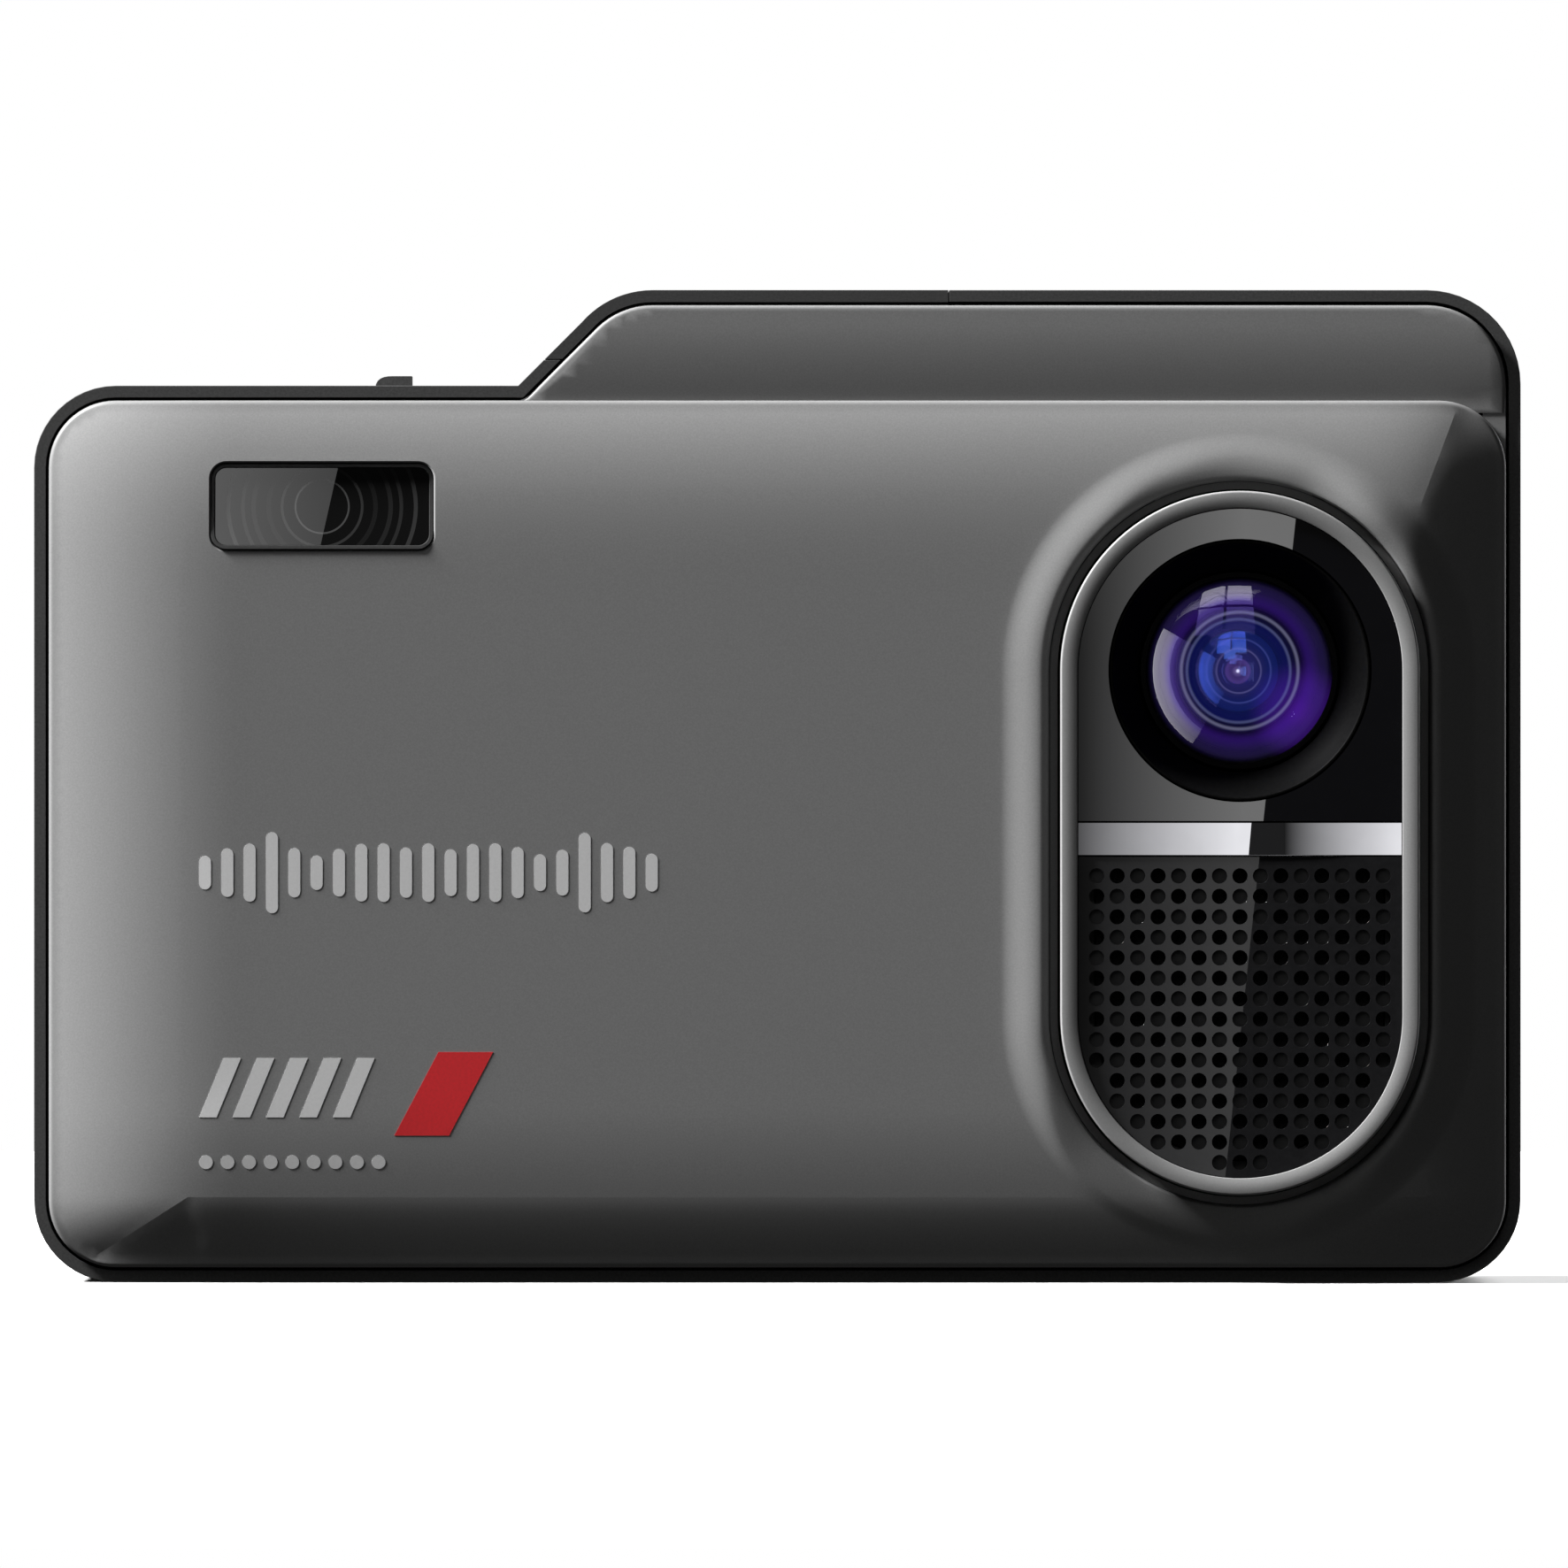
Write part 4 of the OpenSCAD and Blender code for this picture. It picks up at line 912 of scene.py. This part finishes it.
def make_strip():
    """The chrome strip: flat up to the split in its reflection, and very slightly curved past it."""
    low, high = node_box("chrome_strip")
    bend_x = 31.78
    curve = 0.0048
    edge = 0.05
    shell = Shell()
    stations = np.concatenate([np.linspace(low.x, bend_x, 4), np.linspace(bend_x, high.x, 25)[1:]])
    rings = []
    for x in stations:
        y = low.y + curve * max(0, x - bend_x) ** 2 / 2
        section = [(high.y, low.z), (y + edge, low.z), (y, low.z + edge), (y, high.z - edge),
                   (y + edge, high.z), (high.y, high.z)]
        first = len(shell.points)
        shell.points += [(x, depth, z) for depth, z in section]
        rings.append(list(range(first, len(shell.points))))
    for a, b in zip(rings[:-1], rings[1:]):
        shell.bridge(a, b)
    shell.faces += [tuple(rings[0]), tuple(reversed(rings[-1]))]
    return shell.make("strip_trim", "chrome_trim", smooth=20, replaces=["chrome_strip"])


def make_front_glass():
    """The front lens element: a shallow dome over the element's hollow back."""
    low, high = node_box("lens_front_element")
    radius = (high.x - low.x) / 2
    dome, hollow, hollow_r = 14.0, 6.4, 4.6
    shell = Shell()
    circle = arc((0, 0), 1.0, 0, 360, 96)[:-1]
    centre = np.array([CAM_X, LENS_Z])

    def cap(r):
        return low.y + dome - math.sqrt(dome ** 2 - r ** 2)

    def bowl(r):
        return -13.3 + hollow - math.sqrt(hollow ** 2 - r ** 2)

    front = [(r, cap(r)) for r in (0.02, *np.linspace(0.35, radius - 0.12, 18))]
    side = [(radius, cap(radius) + 0.1), (radius, high.y)]
    back = [(r, bowl(r)) for r in np.linspace(hollow_r, 0.02, 12)]
    profile = front + side + back
    rings = [shell.ring(centre + circle * r, y) for r, y in profile]
    for a, b in zip(rings[:-1], rings[1:]):
        shell.bridge(b, a)
    shell.faces += [tuple(rings[0]), tuple(reversed(rings[-1]))]
    return shell.make("front_glass", "coated_glass", material="front_glass", smooth=40,
                      replaces=["lens_front_element"])


def pill(x, z, w, h):
    """A bar with round ends."""
    return rounded_rect((x + w / 2, z + h / 2), (w, h), min(w, h) / 2 - 0.001, 6)


def slanted(x, z, w, h, lean):
    """A bar whose top is shifted to the right by lean."""
    return np.array([(x, z), (x + w, z), (x + w + lean, z + h), (x + lean, z + h)])


def print_mark(shell, loop):
    """A thin printed shape that lies on the face."""
    loop = split_long(loop, 0.6)
    shell.plate(loop, [], lambda p: face_depth(p) - 0.02, True)
    shell.plate(loop, [], lambda p: face_depth(p) + 0.1, False)
    shell.bridge(shell.ring(loop, face_depth(loop) - 0.02), shell.ring(loop, face_depth(loop) + 0.1))


def make_marks():
    """Plain bars, dots and stripes in the places of the printed marks."""
    pale, red = Shell(), Shell()
    left = -38.05
    for i in range(21):
        height = 2.2 + 1.7 * abs(math.sin(i * 0.62)) + (1.5 if i % 7 == 3 else 0)
        print_mark(pale, pill(left + i * 1.47, 27.0 - height / 2, 0.78, height))
    for i in range(5):
        print_mark(pale, slanted(left + i * 2.2, 10.9, 1.15, 3.9, 1.6))
    for i in range(9):
        print_mark(pale, pill(left + i * 1.42, 7.5, 0.9, 0.9))
    print_mark(red, slanted(-25.2, 9.7, 3.6, 5.5, 2.9))
    pale.make("marks_pale", "cover_paint", material="print_grey")
    red.make("marks_red", "cover_paint", material="print_red")


make_front_cover()
make_rear_cover()
make_ring()
make_strip()
make_front_glass()
make_marks()

# ---------- CAD nodes that stay ----------

# Width of the rounded edges, in millimetres
BEVELS = {
    "mid_frame": 0.05, "mount_dock": 0.05, "speaker_grille": 0.06,
    "lens_hood": 0.06, "lens_barrel": 0.05, "side_key": 0.12, "power_slider": 0.14, "memory_card": 0.1,
    "usb_port": 0.07, "display_glass": 0.25, "case_screws": 0.1, "window_gasket": 0.05,
    "main_board": 0.08, "processor": 0.08, "heatsink": 0.12, "memory_chips": 0.08, "radar_shield": 0.2,
    "radar_board": 0.05, "gps_antenna": 0.15, "card_socket": 0.08, "power_switch": 0.1, "key_switch": 0.1,
    "display_panel": 0.15, "status_light": 0.08, "dock_contacts": 0.05, "dock_magnets": 0.06,
    "speaker_basket": 0.1, "lens_holder": 0.12, "camera_board": 0.06, "camera_screws": 0.05,
    "board_screws": 0.05, "supercapacitors": 0.2, "clock_battery": 0.15,
}

NODE_MATERIALS = {"lens_rear_element": "rear_glass"}
node_slots = {part["node"]: part["material_slot"] for part in frame["record"]["subparts"]}


def dress(name, part):
    """Gives a CAD node its material and, where it shows, fine rounded edges."""
    part.data.materials.clear()
    part.data.materials.append(MATERIALS[NODE_MATERIALS.get(name, node_slots[name])])
    if part.hide_render:
        return
    weld = part.modifiers.new("weld", "WELD")
    weld.merge_threshold = 0.002 * MM
    if name in BEVELS:
        bevel = part.modifiers.new("bevel", "BEVEL")
        bevel.width = BEVELS[name] * MM
        bevel.segments = 2
        bevel.limit_method = "ANGLE"
        bevel.angle_limit = math.radians(35)
        bevel.miter_outer = "MITER_ARC"
        bevel.harden_normals = True


for name, part in frame["nodes"].items():
    dress(name, part)

# ---------- stage and light ----------

bpy.context.scene.view_settings.view_transform = "Standard"
bpy.context.scene.view_settings.look = "None"


def make_world():
    """White behind the object as the camera sees it, and a faint even light on everything."""
    world = bpy.data.worlds.new("studio")
    bpy.context.scene.world = world
    world.use_nodes = True
    nodes = world.node_tree.nodes
    links = world.node_tree.links
    backdrop = nodes["Background"]
    set_inputs(backdrop, Color=(1, 1, 1, 1), Strength=1.0)
    ambient = nodes.new("ShaderNodeBackground")
    set_inputs(ambient, Color=(1, 1, 1, 1), Strength=AMBIENT)
    rays = nodes.new("ShaderNodeLightPath")
    choose = nodes.new("ShaderNodeMixShader")
    links.new(rays.outputs["Is Camera Ray"], choose.inputs["Fac"])
    links.new(ambient.outputs["Background"], choose.inputs[1])
    links.new(backdrop.outputs["Background"], choose.inputs[2])
    links.new(choose.outputs["Shader"], nodes["World Output"].inputs["Surface"])

def add_light(name, position, target, size, watts, mirrored=True):
    """A rectangular soft light; the places are in millimetres."""
    data = bpy.data.lights.new(name, "AREA")
    data.shape = "RECTANGLE"
    data.size, data.size_y = size[0] * MM, size[1] * MM
    data.energy = watts
    lamp = bpy.data.objects.new(name, data)
    place = Vector(position) * MM
    lamp.location = place
    lamp.visible_glossy = mirrored
    lamp.rotation_euler = (Vector(target) * MM - place).to_track_quat("-Z", "Y").to_euler()
    bpy.context.scene.collection.objects.link(lamp)


def add_card(name, corners, y, left, right, ends=None):
    """A glowing card that only reflections see; its radiance goes from left to right between two x ends."""
    mesh = bpy.data.meshes.new(name)
    x_low, x_high = ends or (min(x for x, _ in corners), max(x for x, _ in corners))
    mesh.from_pydata([Vector((x, y, z)) * MM for x, z in corners], [], [tuple(range(len(corners)))])
    material, nodes, links, shader = new_material(name)
    nodes.remove(shader)
    glow = nodes.new("ShaderNodeEmission")
    place = nodes.new("ShaderNodeTexCoord")
    split = nodes.new("ShaderNodeSeparateXYZ")
    spread = nodes.new("ShaderNodeMapRange")
    set_inputs(spread, From_Min=x_low * MM, From_Max=x_high * MM, To_Min=left, To_Max=right)
    links.new(place.outputs["Object"], split.inputs["Vector"])
    links.new(split.outputs["X"], spread.inputs["Value"])
    links.new(spread.outputs["Result"], glow.inputs["Strength"])
    links.new(glow.outputs["Emission"], nodes["Material Output"].inputs["Surface"])
    mesh.materials.append(material)
    card = bpy.data.objects.new(name, mesh)
    card.visible_camera = False
    card.visible_diffuse = False
    card.visible_shadow = False
    bpy.context.scene.collection.objects.link(card)


AMBIENT = 0.03
MIDDLE = (0, 0, 33)
KEY_DISTANCE = 1500
KEY_ANGLE = math.radians(84.2)  # between the key light and the face's normal
CARDS_Y = -2000
LENS_CARDS_Y = -800

make_world()
across = -math.sin(KEY_ANGLE) / math.sqrt(2)
key_place = [KEY_DISTANCE * k for k in (across, -math.cos(KEY_ANGLE), -across)]
add_light("key", key_place, MIDDLE, (300, 300), 79)
add_light("back_light", (700, 1300, 900), MIDDLE, (900, 700), 40, mirrored=False)
add_light("right_light", (1150, 950, 250), MIDDLE, (500, 500), 25, mirrored=False)

# Card whose slanting right edge makes the split reflection across the camera's panel
add_card("panel_card", [(38, -200), (39, -200), (84, 220), (38, 220)], CARDS_Y, 0.1, 1.9, (38, 61))
add_card("panel_card_left", [(-400, -200), (38, -200), (38, 220), (-400, 220)], CARDS_Y, 0.03, 0.1)
add_card("strip_card", [(95, -150), (330, -150), (330, 200), (95, 200)], CARDS_Y, 0.02, 2.7)
laser_corners = [(-500, 500), (-96.3, 500), (-23.3, 850), (-500, 850)]
add_card("laser_card", laser_corners, -1900, 2.4, 1.2, (-74, -56))
# Panes of a window up to the left, and a soft arc down to the left, that the lens shows
for column in range(2):
    for row in range(2):
        x, z = -330 + column * 260, 330 + row * 300
        add_card("pane", [(x, z), (x + 235, z), (x + 235, z + 270), (x, z + 270)], LENS_CARDS_Y, 2.4, 2.4)
inner_arc = arc((CAM_X, LENS_Z), 420, 150, 238, 12)
outer_arc = arc((CAM_X, LENS_Z), 1050, 238, 150, 12)
add_card("arc_card", [tuple(p) for p in np.vstack([inner_arc, outer_arc])], LENS_CARDS_Y, 3.6, 0.2)


def make_floor(reach):
    """A white floor that takes the shadow but throws no light back; reach is in metres."""
    mesh = bpy.data.meshes.new("floor")
    corners = [(-reach, -reach, 0), (reach, -reach, 0), (reach, reach, 0), (-reach, reach, 0)]
    mesh.from_pydata(corners, [], [(0, 1, 2, 3)])
    material, _, _, shader = new_material("floor")
    set_inputs(shader, Base_Color=grey(0.9), Roughness=0.9)
    mesh.materials.append(material)
    floor = bpy.data.objects.new("floor", mesh)
    floor.visible_diffuse = False
    floor.visible_glossy = False
    bpy.context.scene.collection.objects.link(floor)

make_floor(0.7)
